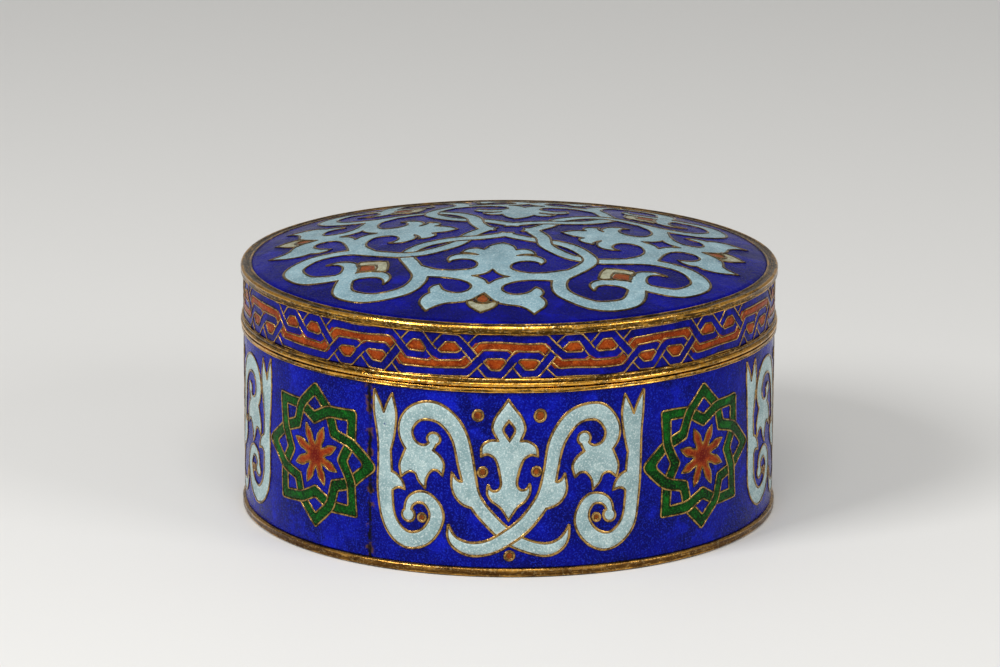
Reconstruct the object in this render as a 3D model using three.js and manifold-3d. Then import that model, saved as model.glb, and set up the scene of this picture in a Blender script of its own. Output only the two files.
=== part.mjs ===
// A round box in cloisonné enamel with a lift-off lid: a copper drum and a domed lid between gilt rims, with
// enamel figures in a cobalt ground. Millimetres, +Z up, the foot on Z = 0, the front towards -Y.
import * as THREE from "three";
import { mergeGeometries, mergeVertices } from "three/addons/utils/BufferGeometryUtils.js";
import Module from "manifold-3d";

const wasm = await Module();
wasm.setup();

// Radii and sheet thicknesses
const DRUM_R = 40; // outside of the gilt rims
const RIM_PROUD = 0.6; // the rims stand this far outside the enamel ground
const ENAMEL = 0.75; // enamel on the outside
const COPPER = 0.75; // copper sheet of the body and the dome
const COUNTER_ENAMEL = 0.45; // enamel inside and underneath
const SEAT = 0.06; // gap between pieces soldered or fused face to face
const LID_FIT = 0.2; // radial clearance of the lid's wall round the collar

// Heights, from the table up
const FOOT_H = 1.3;
const JOINT_Z = 28; // where the lid meets the body
const BODY_RIM_H = 0.75;
const LID_RIM_H = 1.25;
const BEAD_H = 0.7; // round moulding in the lower part of the lid's lower rim
const BAND_H = 6.35; // strapwork band round the lid
const TOP_RIM_H = 1.3;
const DOME_RISE = 4.6;
const COLLAR_ABOVE = 4.6; // the collar stands this far above the joint
const COLLAR_BELOW = 4; // and reaches this far down inside the body
const COLLAR_T = 1;
const COLLAR_CHAMFER = 0.35; // leads the lid on

// Rims
const LEDGE_W = 1.75; // flat gilt ledge round the dome
const FOOT_W = 2.4; // bearing face of the foot
const RIM_ROUND = 0.4; // outer corners of the rims

// Enamel figures and their wires
const FIGURE_GAP = 0.2; // clearance under a figure
const FIGURE_DIP = 0.89; // share of it that a straight edge round the wall may use up
const FIGURE_T = 0.3; // a scroll or a strap
const FILL_T = 0.12; // green enamel of a rosette
const WIRE_T = 0.15; // its wires stand this far above the green
const WIRE_W = 0.35;
const ROSETTE_STRAP_W = 1.9;
const ROSETTE_MARGIN = 1.4; // between a rosette's tips and the rims
const ROSETTE_RISE = 0.5; // the rosettes' middle above the middle of the wall
const BAND_MARGIN = 0.15; // between the band's straps and its rims

// Counts
const SEGMENTS = 32; // facets round the drum
const DOME_RINGS = 3;
const QUARTERS = 4; // the dome's scroll comes four times, and so does the rosette
const BAND_REPEATS = 11;
const STAR_PETALS = 8;
const DOME_PHASE = (-7 * Math.PI) / 180; // the lid sits turned a little on the body
const DOME_SPAN = 12; // longest straight edge on the dome

// Radii that follow
const groundR = DRUM_R - RIM_PROUD;
const copperR = groundR - ENAMEL - SEAT;
const wallInnerR = copperR - COPPER;
const liningR = wallInnerR - SEAT;
const collarR = wallInnerR - SEAT;
const lidInnerR = collarR + LID_FIT;
const ledgeR = DRUM_R - LEDGE_W;
const domeR = ledgeR - SEAT;
const lidPlateR = Math.min(lidInnerR, ledgeR) - SEAT; // clear of the lid's wall and of its ledge
const figureR = groundR + FIGURE_GAP;

// Heights that follow
const bodyRimZ = JOINT_Z - BODY_RIM_H;
const lidZ = JOINT_Z + SEAT;
const bandZ = lidZ + LID_RIM_H;
const topRimZ = bandZ + BAND_H;
const ledgeZ = topRimZ + TOP_RIM_H;
const floorZ = FOOT_H + SEAT;

const finish = (color, roughness, metalness) =>
  new THREE.MeshStandardMaterial({ color, roughness, metalness });
const GILT = finish(0xc9973a, 0.35, 1);
const COPPER_SHEET = finish(0xb5764a, 0.45, 1);
const COBALT = finish(0x1414a8, 0.22, 0);
const TURQUOISE = finish(0x9cc4cf, 0.3, 0);
const GREEN = finish(0x0f5a1c, 0.25, 0);
const AMBER = finish(0xa8481a, 0.25, 0);
const TERRACOTTA = finish(0xa33a14, 0.28, 0);
const LINING = finish(0x2f7fa6, 0.3, 0);

const body = new THREE.Group();
const lid = new THREE.Group();

function addTo(group, name, geometry, material, turn = 0) {
  const mesh = new THREE.Mesh(geometry, material);
  mesh.name = name;
  mesh.rotation.z = turn;
  group.add(mesh);
}

// A turned piece: its section runs anticlockwise in (radius, height) and closes on itself or on the axis.
function turned(section) {
  const points = section.map(([r, z]) => new THREE.Vector2(r, z));
  return new THREE.LatheGeometry(points, SEGMENTS).rotateX(Math.PI / 2);
}

function ring(inner, outer, low, high) {
  return turned([
    [inner, low],
    [outer, low],
    [outer, high],
    [inner, high],
    [inner, low],
  ]);
}

function disc(radius, low, high) {
  return turned([
    [0, low],
    [radius, low],
    [radius, high],
    [0, high],
  ]);
}

// Height of the dome's enamel: a shallow parabola that starts level with the ledge.
const domeZ = (r) => ledgeZ + DOME_RISE * (1 - (r / domeR) ** 2);

// A domed sheet that lies DROP under the enamel's surface. All sheets share their rings but the last.
function domedSheet(radius, drop, thickness) {
  const radii = Array.from({ length: DOME_RINGS }, (_, i) => (domeR * i) / DOME_RINGS);
  const under = [...radii, radius].map((r) => [r, domeZ(r) - drop - thickness]);
  const over = [...radii, radius].map((r) => [r, domeZ(r) - drop]).reverse();
  return turned([...under, ...over]);
}

// Flat outlines are lists of [x, y].
const polar = (r, degrees) => {
  const a = (degrees * Math.PI) / 180;
  return [r * Math.cos(a), r * Math.sin(a)];
};
const mirrored = (points) => points.map(([x, y]) => [-x, y]);
const whole = (half) => [...half, ...mirrored(half).reverse()];

function turnedBy(points, degrees) {
  const [c, s] = polar(1, degrees);
  return points.map(([x, y]) => [x * c - y * s, x * s + y * c]);
}

// Moves a closed line sideways by a distance, with mitred corners. An anticlockwise loop shrinks.
function shifted(points, distance) {
  const n = points.length;
  const at = (i) => points[(i + n) % n];
  const normal = ([ax, ay], [bx, by]) => {
    const length = Math.hypot(bx - ax, by - ay);
    return [(ay - by) / length, (bx - ax) / length];
  };
  return points.map(([x, y], i) => {
    const [px, py] = normal(at(i - 1), at(i));
    const [qx, qy] = normal(at(i), at(i + 1));
    const reach = distance / (1 + px * qx + py * qy);
    return [x + (px + qx) * reach, y + (py + qy) * reach];
  });
}

function solidOf(geometry) {
  const bare = new THREE.BufferGeometry();
  bare.setAttribute("position", geometry.getAttribute("position"));
  const merged = mergeVertices(bare, 1e-4);
  return new wasm.Manifold(
    new wasm.Mesh({
      numProp: 3,
      vertProperties: new Float32Array(merged.attributes.position.array),
      triVerts: new Uint32Array(merged.index.array),
    }),
  );
}

// A plate from z = LOW up, of one outline with holes, as a solid that can be joined and cut.
function plate(outline, thickness = FIGURE_T, low = 0, holes = []) {
  const vectors = (points) => points.map(([x, y]) => new THREE.Vector2(x, y));
  const shape = new THREE.Shape(vectors(outline));
  shape.holes = holes.map((hole) => new THREE.Path(vectors(hole)));
  const flat = new THREE.ExtrudeGeometry(shape, { depth: thickness, bevelEnabled: false });
  return solidOf(flat.translate(0, 0, low));
}

// A plate that cuts right through another one of the given thickness.
const cutter = (outline, thickness = FIGURE_T) => plate(outline, 3 * thickness, -thickness);

// Coplanar faces that a join leaves side by side become one.
const MERGE = 0.002;
const joined = (solids) => solids.reduce((all, solid) => all.add(solid));

// A strap along a smooth line through its stops, each [x, y, width], with STEPS facets
function sweptStrap(stops, steps) {
  const line = new THREE.SplineCurve(stops.map(([x, y]) => new THREE.Vector2(x, y)));
  const widths = new THREE.SplineCurve(stops.map(([, , w], i) => new THREE.Vector2(i, w)));
  const left = [];
  const right = [];
  for (let i = 0; i <= steps; i++) {
    const p = line.getPoint(i / steps);
    const along = line.getTangent(i / steps);
    const half = widths.getPoint(i / steps).y / 2;
    left.push([p.x - along.y * half, p.y + along.x * half]);
    right.push([p.x + along.y * half, p.y - along.x * half]);
  }
  return [...left, ...right.reverse()];
}

// Bends a flat solid. Edges for which SPAN gives more than 1 are first halved, until none is left. Both
// triangles on an edge see the same middle, so the solid stays closed.
function bent(solid, span, bend, keep = () => true) {
  const mesh = solid.asOriginal().simplify(MERGE).getMesh();
  const n = mesh.numProp;
  const points = [];
  for (let i = 0; i < mesh.numVert; i++)
    points.push([...mesh.vertProperties.slice(i * n, i * n + 3)]);
  let faces = [];
  for (let i = 0; i < mesh.triVerts.length; i += 3)
    faces.push([...mesh.triVerts.slice(i, i + 3)]);
  const middles = new Map();
  const middle = (a, b) => {
    const key = a < b ? `${a} ${b}` : `${b} ${a}`;
    if (middles.has(key)) return middles.get(key);
    if (span(points[a], points[b]) <= 1) return -1;
    points.push(points[a].map((v, k) => (v + points[b][k]) / 2));
    middles.set(key, points.length - 1);
    return points.length - 1;
  };
  // A face with one halved edge becomes two, with two three, with three four.
  const split = (face) => {
    const cuts = face.map((a, k) => middle(a, face[(k + 1) % 3]));
    const count = cuts.filter((cut) => cut >= 0).length;
    if (count === 0) return [face];
    const k = count === 3 ? 0 : cuts.findIndex((cut, i) => cut >= 0 && cuts[(i + 2) % 3] < 0);
    const [a, b, c] = [0, 1, 2].map((i) => face[(k + i) % 3]);
    const [ab, bc, ca] = [0, 1, 2].map((i) => cuts[(k + i) % 3]);
    if (count === 1) return [[a, ab, c], [ab, b, c]];
    if (count === 2) return [[ab, b, bc], [a, ab, bc], [a, bc, c]];
    return [[a, ab, ca], [ab, b, bc], [ca, bc, c], [ab, bc, ca]];
  };
  for (let before = 0; before !== faces.length; ) {
    before = faces.length;
    faces = faces.flatMap(split);
  }
  faces = faces.filter((face) => keep(face.map((i) => points[i])));
  const geometry = new THREE.BufferGeometry();
  geometry.setAttribute("position", new THREE.Float32BufferAttribute(points.flatMap(bend), 3));
  geometry.setIndex(faces.flat());
  return geometry.toNonIndexed();
}

// Wraps a plate drawn in (distance round the drum, height) on to the ground, with 0 at the front. A plate
// that meets its neighbours at both ends of a stretch has no faces there.
const circumference = 2 * Math.PI * DRUM_R;
function onWall(solid, ends = []) {
  const longest = Math.sqrt(8 * figureR * FIGURE_GAP * FIGURE_DIP);
  const span = (p, q) => Math.abs(p[0] - q[0]) / longest;
  const bend = ([u, z, depth]) => {
    const r = figureR + depth;
    return [r * Math.sin(u / DRUM_R), -r * Math.cos(u / DRUM_R), z];
  };
  const at = (end) => (p) => Math.abs(p[0] - end) < 1e-3;
  return bent(solid, span, bend, (corners) => !ends.some((end) => corners.every(at(end))));
}

// Lays a plate drawn from above on to the dome.
function onDome(solid) {
  const span = (p, q) => Math.hypot(p[0] - q[0], p[1] - q[1]) / DOME_SPAN;
  return bent(solid, span, ([x, y, depth]) => [
    x,
    y,
    domeZ(Math.hypot(x, y)) + FIGURE_GAP + depth,
  ]);
}

// The body: foot, copper, enamel outside and inside, top rim, and the collar that the lid goes over
function addBody() {
  const half = RIM_ROUND / 2;
  const foot = turned([
    [DRUM_R - FOOT_W, 0],
    [DRUM_R - RIM_ROUND, 0],
    [DRUM_R, RIM_ROUND],
    [DRUM_R, FOOT_H - half],
    [DRUM_R - half, FOOT_H],
    [DRUM_R - FOOT_W, FOOT_H],
    [DRUM_R - FOOT_W, 0],
  ]);
  addTo(body, "foot_rim", foot, GILT);
  addTo(body, "floor_plate", disc(wallInnerR - SEAT, floorZ, floorZ + COPPER), COPPER_SHEET);
  addTo(body, "body_wall", ring(wallInnerR, copperR, floorZ, JOINT_Z - SEAT), COPPER_SHEET);
  const ground = ring(copperR + SEAT, groundR, floorZ, bodyRimZ - SEAT);
  addTo(body, "body_ground_enamel", ground, COBALT);
  const rim = turned([
    [copperR + SEAT, bodyRimZ],
    [DRUM_R - RIM_ROUND, bodyRimZ],
    [DRUM_R - half, bodyRimZ + half],
    [DRUM_R - half, JOINT_Z - half],
    [DRUM_R - RIM_ROUND, JOINT_Z],
    [copperR + SEAT, JOINT_Z],
    [copperR + SEAT, bodyRimZ],
  ]);
  addTo(body, "body_top_rim", rim, GILT);
  const collarTop = JOINT_Z + COLLAR_ABOVE;
  const collarFoot = JOINT_Z - COLLAR_BELOW;
  const collar = turned([
    [collarR - COLLAR_T, collarFoot],
    [collarR, collarFoot],
    [collarR, collarTop - COLLAR_CHAMFER],
    [collarR - COLLAR_CHAMFER, collarTop],
    [collarR - COLLAR_T, collarTop],
    [collarR - COLLAR_T, collarFoot],
  ]);
  addTo(body, "collar", collar, GILT);
  const liningZ = floorZ + COPPER + SEAT;
  const lining = turned([
    [0, liningZ],
    [liningR, liningZ],
    [liningR, collarFoot - SEAT],
    [liningR - COUNTER_ENAMEL, collarFoot - SEAT],
    [liningR - COUNTER_ENAMEL, liningZ + COUNTER_ENAMEL],
    [0, liningZ + COUNTER_ENAMEL],
  ]);
  addTo(body, "inner_counter_enamel", lining, LINING);
  const base = disc(DRUM_R - FOOT_W - SEAT, FOOT_H - COUNTER_ENAMEL, FOOT_H);
  addTo(body, "base_counter_enamel", base, LINING);
}

// The lid: copper wall and dome plate, gilt rims, enamel of the band, of the dome and inside
function addLid() {
  const wallTop = topRimZ - SEAT;
  addTo(lid, "lid_wall", ring(lidInnerR, copperR, lidZ, wallTop), COPPER_SHEET);
  const bead = [-50, 0, 50].map((degrees) => {
    const [out, up] = polar(BEAD_H / 2, degrees);
    return [DRUM_R - BEAD_H / 2 + out, lidZ + BEAD_H / 2 + up];
  });
  const flatR = DRUM_R - RIM_ROUND / 2;
  const lowerRim = turned([
    [copperR + SEAT, lidZ],
    [DRUM_R - BEAD_H / 2, lidZ],
    ...bead,
    [flatR, lidZ + BEAD_H],
    [flatR, bandZ],
    [copperR + SEAT, bandZ],
    [copperR + SEAT, lidZ],
  ]);
  addTo(lid, "lid_lower_rim", lowerRim, GILT);
  const ground = ring(copperR + SEAT, groundR, bandZ + SEAT, wallTop);
  addTo(lid, "band_ground_enamel", ground, TERRACOTTA);
  const topRim = turned([
    [ledgeR, topRimZ],
    [DRUM_R, topRimZ],
    [DRUM_R, ledgeZ - RIM_ROUND],
    [DRUM_R - RIM_ROUND * 0.3, ledgeZ - RIM_ROUND * 0.3],
    [DRUM_R - RIM_ROUND, ledgeZ],
    [ledgeR, ledgeZ],
    [ledgeR, topRimZ],
  ]);
  addTo(lid, "lid_top_rim", topRim, GILT);
  const plateDrop = ENAMEL + SEAT;
  const liningDrop = plateDrop + COPPER + SEAT;
  addTo(lid, "dome_ground_enamel", domedSheet(domeR, 0, ENAMEL), COBALT);
  addTo(lid, "dome_plate", domedSheet(lidPlateR, plateDrop, COPPER), COPPER_SHEET);
  addTo(lid, "dome_counter_enamel", domedSheet(lidPlateR, liningDrop, COUNTER_ENAMEL), LINING);
}

// The scroll's half outlines, drawn with its axis down the page, from a point (0, 0) that is the middle of
// the dome, out to the rim. A quarter turn brings each copy on to the next.
const SCROLL_R = 38.2; // the dome's radius in this drawing
const STRAP_W = 2.2;
// From the pointed arch over the palmette, round its outside and down into the loop near the rim
const ARCH_AND_LOOP = [
  [-0.9, -3.1, STRAP_W],
  [4, -5.5, STRAP_W],
  [8.4, -6.6, STRAP_W],
  [12, -9.6, STRAP_W],
  [13.6, -13.6, STRAP_W],
  [11.9, -18.3, STRAP_W],
  [10.1, -22.6, 2.3],
  [11.3, -27.4, 2.6],
  [16, -29.9, 2.9],
  [20.6, -27.6, 2.8],
  [21.3, -23.2, 2.6],
  [20.6, -20.9, 2.4],
];
const CURL = [
  [21.2, -22.4, 2.6],
  [18.6, -21, 2.5],
  [16, -21.5, 2],
  [14.9, -23.1, 1.3],
  [15.3, -25, 0.3],
];
const PALMETTE = [
  [0, -7.7],
  [1.5, -9.3],
  [2.2, -10.9],
  [3.6, -10.4],
  [5.2, -11.6],
  [2.9, -13.4],
  [5.2, -13.6],
  [7.1, -15.1],
  [7, -16.8],
  [4.2, -16.1],
  [2.9, -17.2],
  [4.3, -19.8],
  [10.6, -20.6],
  [9.6, -23.3],
  [6.5, -23.5],
  [3.5, -24.3],
  [2.3, -26.1],
  [3.1, -28.1],
  [5.1, -28.2],
  [6.6, -25.8],
  [8.2, -28],
  [8, -29.2],
  [9.1, -31.2],
  [7.7, -34.7],
  [6.4, -33],
  [3.6, -32.2],
  [1.9, -31.2],
  [0, -28.8],
];
const DIAMOND = [
  [0, -20.1],
  [1, -21.5],
  [2.6, -22.5],
  [1, -23.5],
  [0, -25.3],
];
const BUD_CUP = [
  [1.2, -29.8],
  [2.2, -31.4],
  [1.6, -33.2],
  [-0.2, -35],
  [-0.2, -32.6],
  [0.9, -31.8],
];
const BUD = [
  [0, -29.4],
  [0.6, -30.5],
  [0.5, -31.6],
  [0, -32.2],
];
// On the diagonal between two quarters: the tulip's petal and its amber heart
const TULIP = [
  [-0.2, -22.4],
  [2.9, -24.9],
  [2.6, -27.1],
  [1.8, -26],
  [1, -24.7],
  [-0.2, -24.3],
];
const HEART = [
  [0, -24.7],
  [0.7, -25],
  [1.4, -26.2],
  [0, -27.2],
];

// One copy of the scroll, every outline placed by the function PLACE
function scroll(place) {
  const straps = [sweptStrap(ARCH_AND_LOOP, 12), sweptStrap(CURL, 4)];
  const outlines = [...straps, ...straps.map(mirrored), whole(PALMETTE), BUD_CUP, mirrored(BUD_CUP)];
  const solid = joined(outlines.map((outline) => plate(place(outline))));
  return solid.subtract(cutter(place(whole(DIAMOND))));
}

function addDomeScroll() {
  const scale = domeR / SCROLL_R;
  const quarter = (i, points) =>
    turnedBy(points, (360 / QUARTERS) * i).map(([x, y]) => [x * scale, y * scale]);
  const solids = [];
  for (let i = 0; i < QUARTERS; i++) {
    solids.push(scroll((points) => quarter(i, points)));
    for (const half of [TULIP, mirrored(TULIP)]) solids.push(plate(quarter(i + 0.5, half)));
    const bud = plate(quarter(i, whole(BUD)));
    const heart = plate(quarter(i + 0.5, whole(HEART)));
    addTo(lid, `dome_bud_${i + 1}`, onDome(bud), AMBER, DOME_PHASE);
    addTo(lid, `dome_heart_${i + 1}`, onDome(heart), AMBER, DOME_PHASE);
  }
  addTo(lid, "dome_scroll", onDome(joined(solids)), TURQUOISE, DOME_PHASE);
}

// A rosette is two closed straps, each with four long and four short points, woven over and under
const ROSETTE_LONG = 0.88; // of its radius
const ROSETTE_CROSSING = 0.66;
const ROSETTE_SHORT = 0.475;
function addRosettes() {
  const rosetteR = (bodyRimZ - FOOT_H) / 2 - ROSETTE_MARGIN;
  const middle = (FOOT_H + bodyRimZ) / 2 + ROSETTE_RISE;
  const place = (points) => points.map(([x, y]) => [x, y + middle]);
  const corners = 16;
  const share = [ROSETTE_LONG, ROSETTE_CROSSING, ROSETTE_SHORT, ROSETTE_CROSSING];
  const loop = (turn) =>
    Array.from({ length: corners }, (_, k) =>
      polar(share[k % 4] * rosetteR, (360 / corners) * k + turn),
    );
  const strand = (turn, width, thickness, low) => {
    const [outside, inside] = [-width / 2, width / 2].map((d) => place(shifted(loop(turn), d)));
    return plate(outside, thickness, low, [inside]);
  };
  const low = FILL_T + SEAT;
  const fill = [0, 45].map((turn) => strand(turn, ROSETTE_STRAP_W, FILL_T, 0));
  const strands = [0, 45].map((turn) => strand(turn, ROSETTE_STRAP_W, WIRE_T, low));
  const open = ROSETTE_STRAP_W - 2 * WIRE_W;
  const cells = [0, 45].map((turn) => strand(turn, open, 3 * WIRE_T, low - WIRE_T));
  // Clockwise of each long point a strand dives under the other, and its cell stops there
  const dives = [0, 45].map((turn) =>
    joined(
      [0, 90, 180, 270].map((a) => {
        const wedge = [[0, 0], polar(rosetteR, a + turn - 33), polar(rosetteR, a + turn - 12)];
        return plate(place(wedge), WIRE_T, low);
      }),
    ),
  );
  const stopped = cells.map((cell, i) => cell.subtract(strands[1 - i].intersect(dives[i])));
  const wires = stopped.reduce((net, cell) => net.subtract(cell), joined(strands));
  const petal = [
    [1.9, -22.5],
    [3, -10.5],
    [4.45, 0],
    [3, 10.5],
  ];
  const star = Array.from({ length: STAR_PETALS }, (_, k) =>
    petal.map(([r, a]) => polar(r, a + (k + 0.5) * (360 / STAR_PETALS))),
  ).flat();
  for (let i = 0; i < QUARTERS; i++) {
    const turn = (2 * Math.PI * (i + 0.5)) / QUARTERS;
    addTo(body, `rosette_straps_${i + 1}`, onWall(joined(fill)), GREEN, turn);
    addTo(body, `rosette_wires_${i + 1}`, onWall(wires), GILT, turn);
    addTo(body, `rosette_star_${i + 1}`, onWall(plate(place(star))), AMBER, turn);
  }
}

// The band's blue straps leave terracotta cells open. Two strands braid below a long bar, and half a
// repeat further on the same drawing is upside down. Outlines are (round the drum, up from the middle).
const BAND_DRAWN_REPEAT = 22.85;
const BAND_DRAWN_H = 6.35;
const BAND_BAR = [
  [-4.95, 1.8],
  [5.4, 1.8],
  [6, 1.2],
  [5, 0.25],
  [4.35, 0.75],
  [-3.75, 0.75],
  [-4.55, -0.1],
  [-5.4, 1.1],
];
const BAND_EYES = [
  [
    [-3.4, -0.9],
    [-2.85, -0.45],
    [-1.05, -0.45],
    [-0.75, -0.9],
    [-1.4, -1.85],
    [-2.45, -1.85],
  ],
  [
    [1.6, -0.9],
    [2, -0.45],
    [3.85, -0.45],
    [4.2, -0.8],
    [3.35, -1.85],
    [2.3, -1.85],
  ],
];
const BAND_SEAM = 0.125; // share of a repeat at which the cells' edges run level
function addBandStrapwork() {
  const repeat = circumference / BAND_REPEATS;
  const along = repeat / BAND_DRAWN_REPEAT;
  const up = BAND_H / BAND_DRAWN_H;
  const middle = bandZ + BAND_H / 2;
  const ends = [BAND_SEAM, BAND_SEAM + 1].map((share) => share * repeat);
  const low = bandZ + SEAT + BAND_MARGIN;
  const high = topRimZ - SEAT - BAND_MARGIN;
  let straps = plate([
    [ends[0], low],
    [ends[1], low],
    [ends[1], high],
    [ends[0], high],
  ]);
  for (const half of [-1, 0, 1, 2, 3]) {
    const flip = half % 2 === 0 ? up : -up;
    for (const outline of [BAND_BAR, ...BAND_EYES]) {
      const cell = outline.map(([u, z]) => [u * along + (half * repeat) / 2, middle + z * flip]);
      straps = straps.subtract(cutter(cell));
    }
  }
  const tile = onWall(straps, ends);
  const tiles = Array.from({ length: BAND_REPEATS }, (_, i) =>
    tile.clone().rotateZ((2 * Math.PI * i) / BAND_REPEATS),
  );
  addTo(lid, "band_strapwork", mergeGeometries(tiles), COBALT);
}

addBody();
addRosettes();
addLid();
addBandStrapwork();
addDomeScroll();

const box = new THREE.Group();
box.add(body, lid);

export default box;
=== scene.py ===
"""A round cloisonné box with a lift-off lid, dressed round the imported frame.

Sizes are millimetres and become metres where a mesh is made. The box stands on Z = 0, its front towards -Y.
"""

from __future__ import annotations

import logging
import math
from dataclasses import dataclass
from enum import Enum
from functools import cache
from typing import Callable, Protocol, Sequence

import bmesh
import bpy
import numpy as np
from mathutils import Matrix, Vector
from mathutils.geometry import delaunay_2d_cdt


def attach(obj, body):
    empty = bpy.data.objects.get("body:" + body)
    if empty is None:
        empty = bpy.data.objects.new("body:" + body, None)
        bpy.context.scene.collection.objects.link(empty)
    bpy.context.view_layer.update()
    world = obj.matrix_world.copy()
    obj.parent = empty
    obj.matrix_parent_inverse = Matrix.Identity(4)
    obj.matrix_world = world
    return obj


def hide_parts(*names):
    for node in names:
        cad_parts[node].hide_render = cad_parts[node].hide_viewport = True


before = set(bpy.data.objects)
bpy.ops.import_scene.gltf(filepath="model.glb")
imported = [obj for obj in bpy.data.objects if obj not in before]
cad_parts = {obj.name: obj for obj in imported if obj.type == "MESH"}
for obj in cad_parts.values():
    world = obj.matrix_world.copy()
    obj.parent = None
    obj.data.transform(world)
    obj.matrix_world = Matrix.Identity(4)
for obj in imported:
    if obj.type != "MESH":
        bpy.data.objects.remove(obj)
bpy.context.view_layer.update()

LOG = logging.getLogger("round_box")
MM = 0.001
QUARTERS = 4

# Sizes that several pieces share: radii, heights, and the gap that a piece leaves where it meets another
DRUM_R = 40.0
GROUND_R = 39.5
WALL_INNER_R = 37.84
LID_INNER_R = 37.98
DOME_R = 38.19
FOOT_H = 1.3
BODY_RIM_Z = 27.25
JOINT_Z = 28.0
LID_Z = 28.06
BAND_Z = 29.31
TOP_RIM_Z = 35.66
LEDGE_Z = 36.96
DOME_RISE = 4.6
SEAT = 0.06

# Where a Mix node keeps its colours, because its numbers and vectors have the same names
MIX_FACTOR, MIX_A, MIX_B, MIX_RESULT = 0, 6, 7, 2

Points = np.ndarray
Faces = np.ndarray
Socket = bpy.types.NodeSocket
Value = bpy.types.NodeSocket | str | float
Stops = tuple[tuple[float, ...], ...]
Stretch = tuple[Points, bool]
Cover = Callable[[Points], np.ndarray]


# Finishes


def colour(code: str) -> tuple[float, float, float, float]:
    """Turns a hexadecimal screen colour into linear light.

    Args:
        code: six hexadecimal digits.

    Returns:
        Red, green, blue and 1.
    """
    parts = [int(code[i : i + 2], 16) / 255 for i in (0, 2, 4)]
    linear = [p / 12.92 if p <= 0.04045 else ((p + 0.055) / 1.055) ** 2.4 for p in parts]
    return (linear[0], linear[1], linear[2], 1.0)


class Nodes:
    """A small hand for wiring a material."""

    def __init__(self, name: str) -> None:
        """Starts an empty material with a Principled shader.

        Args:
            name: the material's name.
        """
        self.material = bpy.data.materials.new(name)
        self.material.use_nodes = True
        self.tree = self.material.node_tree
        self.shader = self.tree.nodes["Principled BSDF"]
        self.place = self.add("ShaderNodeTexCoord").outputs["Object"]

    def give(self, socket: Socket, value: Value) -> None:
        """Links a socket to an input, or sets the input to a number or a hexadecimal colour.

        Args:
            socket: the input.
            value: what it gets.
        """
        if isinstance(value, bpy.types.NodeSocket):
            self.tree.links.new(value, socket)
        else:
            socket.default_value = colour(value) if isinstance(value, str) else value

    def add(self, kind: str, **values: Value) -> bpy.types.Node:
        """Adds a node and fills it in.

        Args:
            kind: the node's type.
            values: its attributes, and its inputs with the spaces of their names written as _.

        Returns:
            The node.
        """
        made = self.tree.nodes.new(kind)
        for key, value in values.items():
            if hasattr(made, key):
                setattr(made, key, value)
            else:
                self.give(made.inputs[key.replace("_", " ")], value)
        return made

    def plug(self, **values: Value) -> None:
        """Sets or links inputs of the shader, the spaces of their names written as _."""
        for key, value in values.items():
            self.give(self.shader.inputs[key.replace("_", " ")], value)

    def mark(self) -> Socket:
        """The mesh's marks."""
        return self.add("ShaderNodeAttribute", attribute_name="mark").outputs["Fac"]

    def noise(
        self, size: float, detail: float = 3, rough: float = 0.55, place: Socket | None = None
    ) -> Socket:
        """Noise, 0 to 1.

        Args:
            size: about how many millimetres its features are across.
            detail: how many finer layers it has.
            rough: how strong those are.
            place: where it is read, or None for the object's own place.

        Returns:
            The noise.
        """
        made = self.add("ShaderNodeTexNoise", Vector=place or self.place, Detail=detail, Roughness=rough)
        made.inputs["Scale"].default_value = 1 / (size * MM)
        return made.outputs["Fac"]

    def cells(self, size: float) -> Socket:
        """Distance from the middles of cells that are about SIZE millimetres across."""
        return self.add("ShaderNodeTexVoronoi", Vector=self.place, Scale=1 / (size * MM)).outputs["Distance"]

    def ramp(self, value: Socket, low: float, high: float, to_low: float = 0, to_high: float = 1) -> Socket:
        """Maps low..high smoothly to to_low..to_high.

        Args:
            value: what is mapped.
            low: where the slope starts.
            high: where it ends.
            to_low: the result up to its start.
            to_high: the result past its end.

        Returns:
            The result.
        """
        ends = {"From_Min": low, "From_Max": high, "To_Min": to_low, "To_Max": to_high}
        made = self.add("ShaderNodeMapRange", interpolation_type="SMOOTHSTEP", Value=value, **ends)
        return made.outputs["Result"]

    def work(self, operation: str, a: Value, b: Value = 0.0) -> Socket:
        """One step of arithmetic.

        Args:
            operation: the Math node's name for it.
            a: the first number.
            b: the second number, where it takes one.

        Returns:
            The result.
        """
        made = self.add("ShaderNodeMath", operation=operation)
        for socket, value in zip(made.inputs, (a, b)):
            self.give(socket, value)
        return made.outputs["Value"]

    def plus(self, a: Value, b: Value) -> Socket:
        """a + b."""
        return self.work("ADD", a, b)

    def times(self, a: Value, b: Value) -> Socket:
        """a b."""
        return self.work("MULTIPLY", a, b)

    def mix(self, factor: Value, a: Value, b: Value) -> Socket:
        """Mixes two colours.

        Args:
            factor: the second colour's share.
            a: the first colour.
            b: the second colour.

        Returns:
            The mixed colour.
        """
        made = self.add("ShaderNodeMix", data_type="RGBA")
        for index, value in ((MIX_FACTOR, factor), (MIX_A, a), (MIX_B, b)):
            self.give(made.inputs[index], value)
        return made.outputs[MIX_RESULT]

    def bump(self, height: Socket, depth: float, under: Socket | None = None) -> Socket:
        """A bump.

        Args:
            height: its height, below 0 for a hollow.
            depth: how many millimetres a height of 1 is.
            under: another bump that it lies on.

        Returns:
            The bumped normal.
        """
        made = self.add("ShaderNodeBump", Strength=1.0, Distance=depth * MM, Height=height)
        if under is not None:
            self.give(made.inputs["Normal"], under)
        return made.outputs["Normal"]

    def around(self) -> tuple[Socket, Socket, Socket]:
        """The place round the Z axis.

        Returns:
            Its angle from the front in radians, and its radius and height in metres.
        """
        x, y, z = self.add("ShaderNodeSeparateXYZ", Vector=self.place).outputs
        angle = self.work("ARCTAN2", x, self.times(y, -1.0))
        return angle, self.work("SQRT", self.plus(self.times(x, x), self.times(y, y))), z


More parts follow.
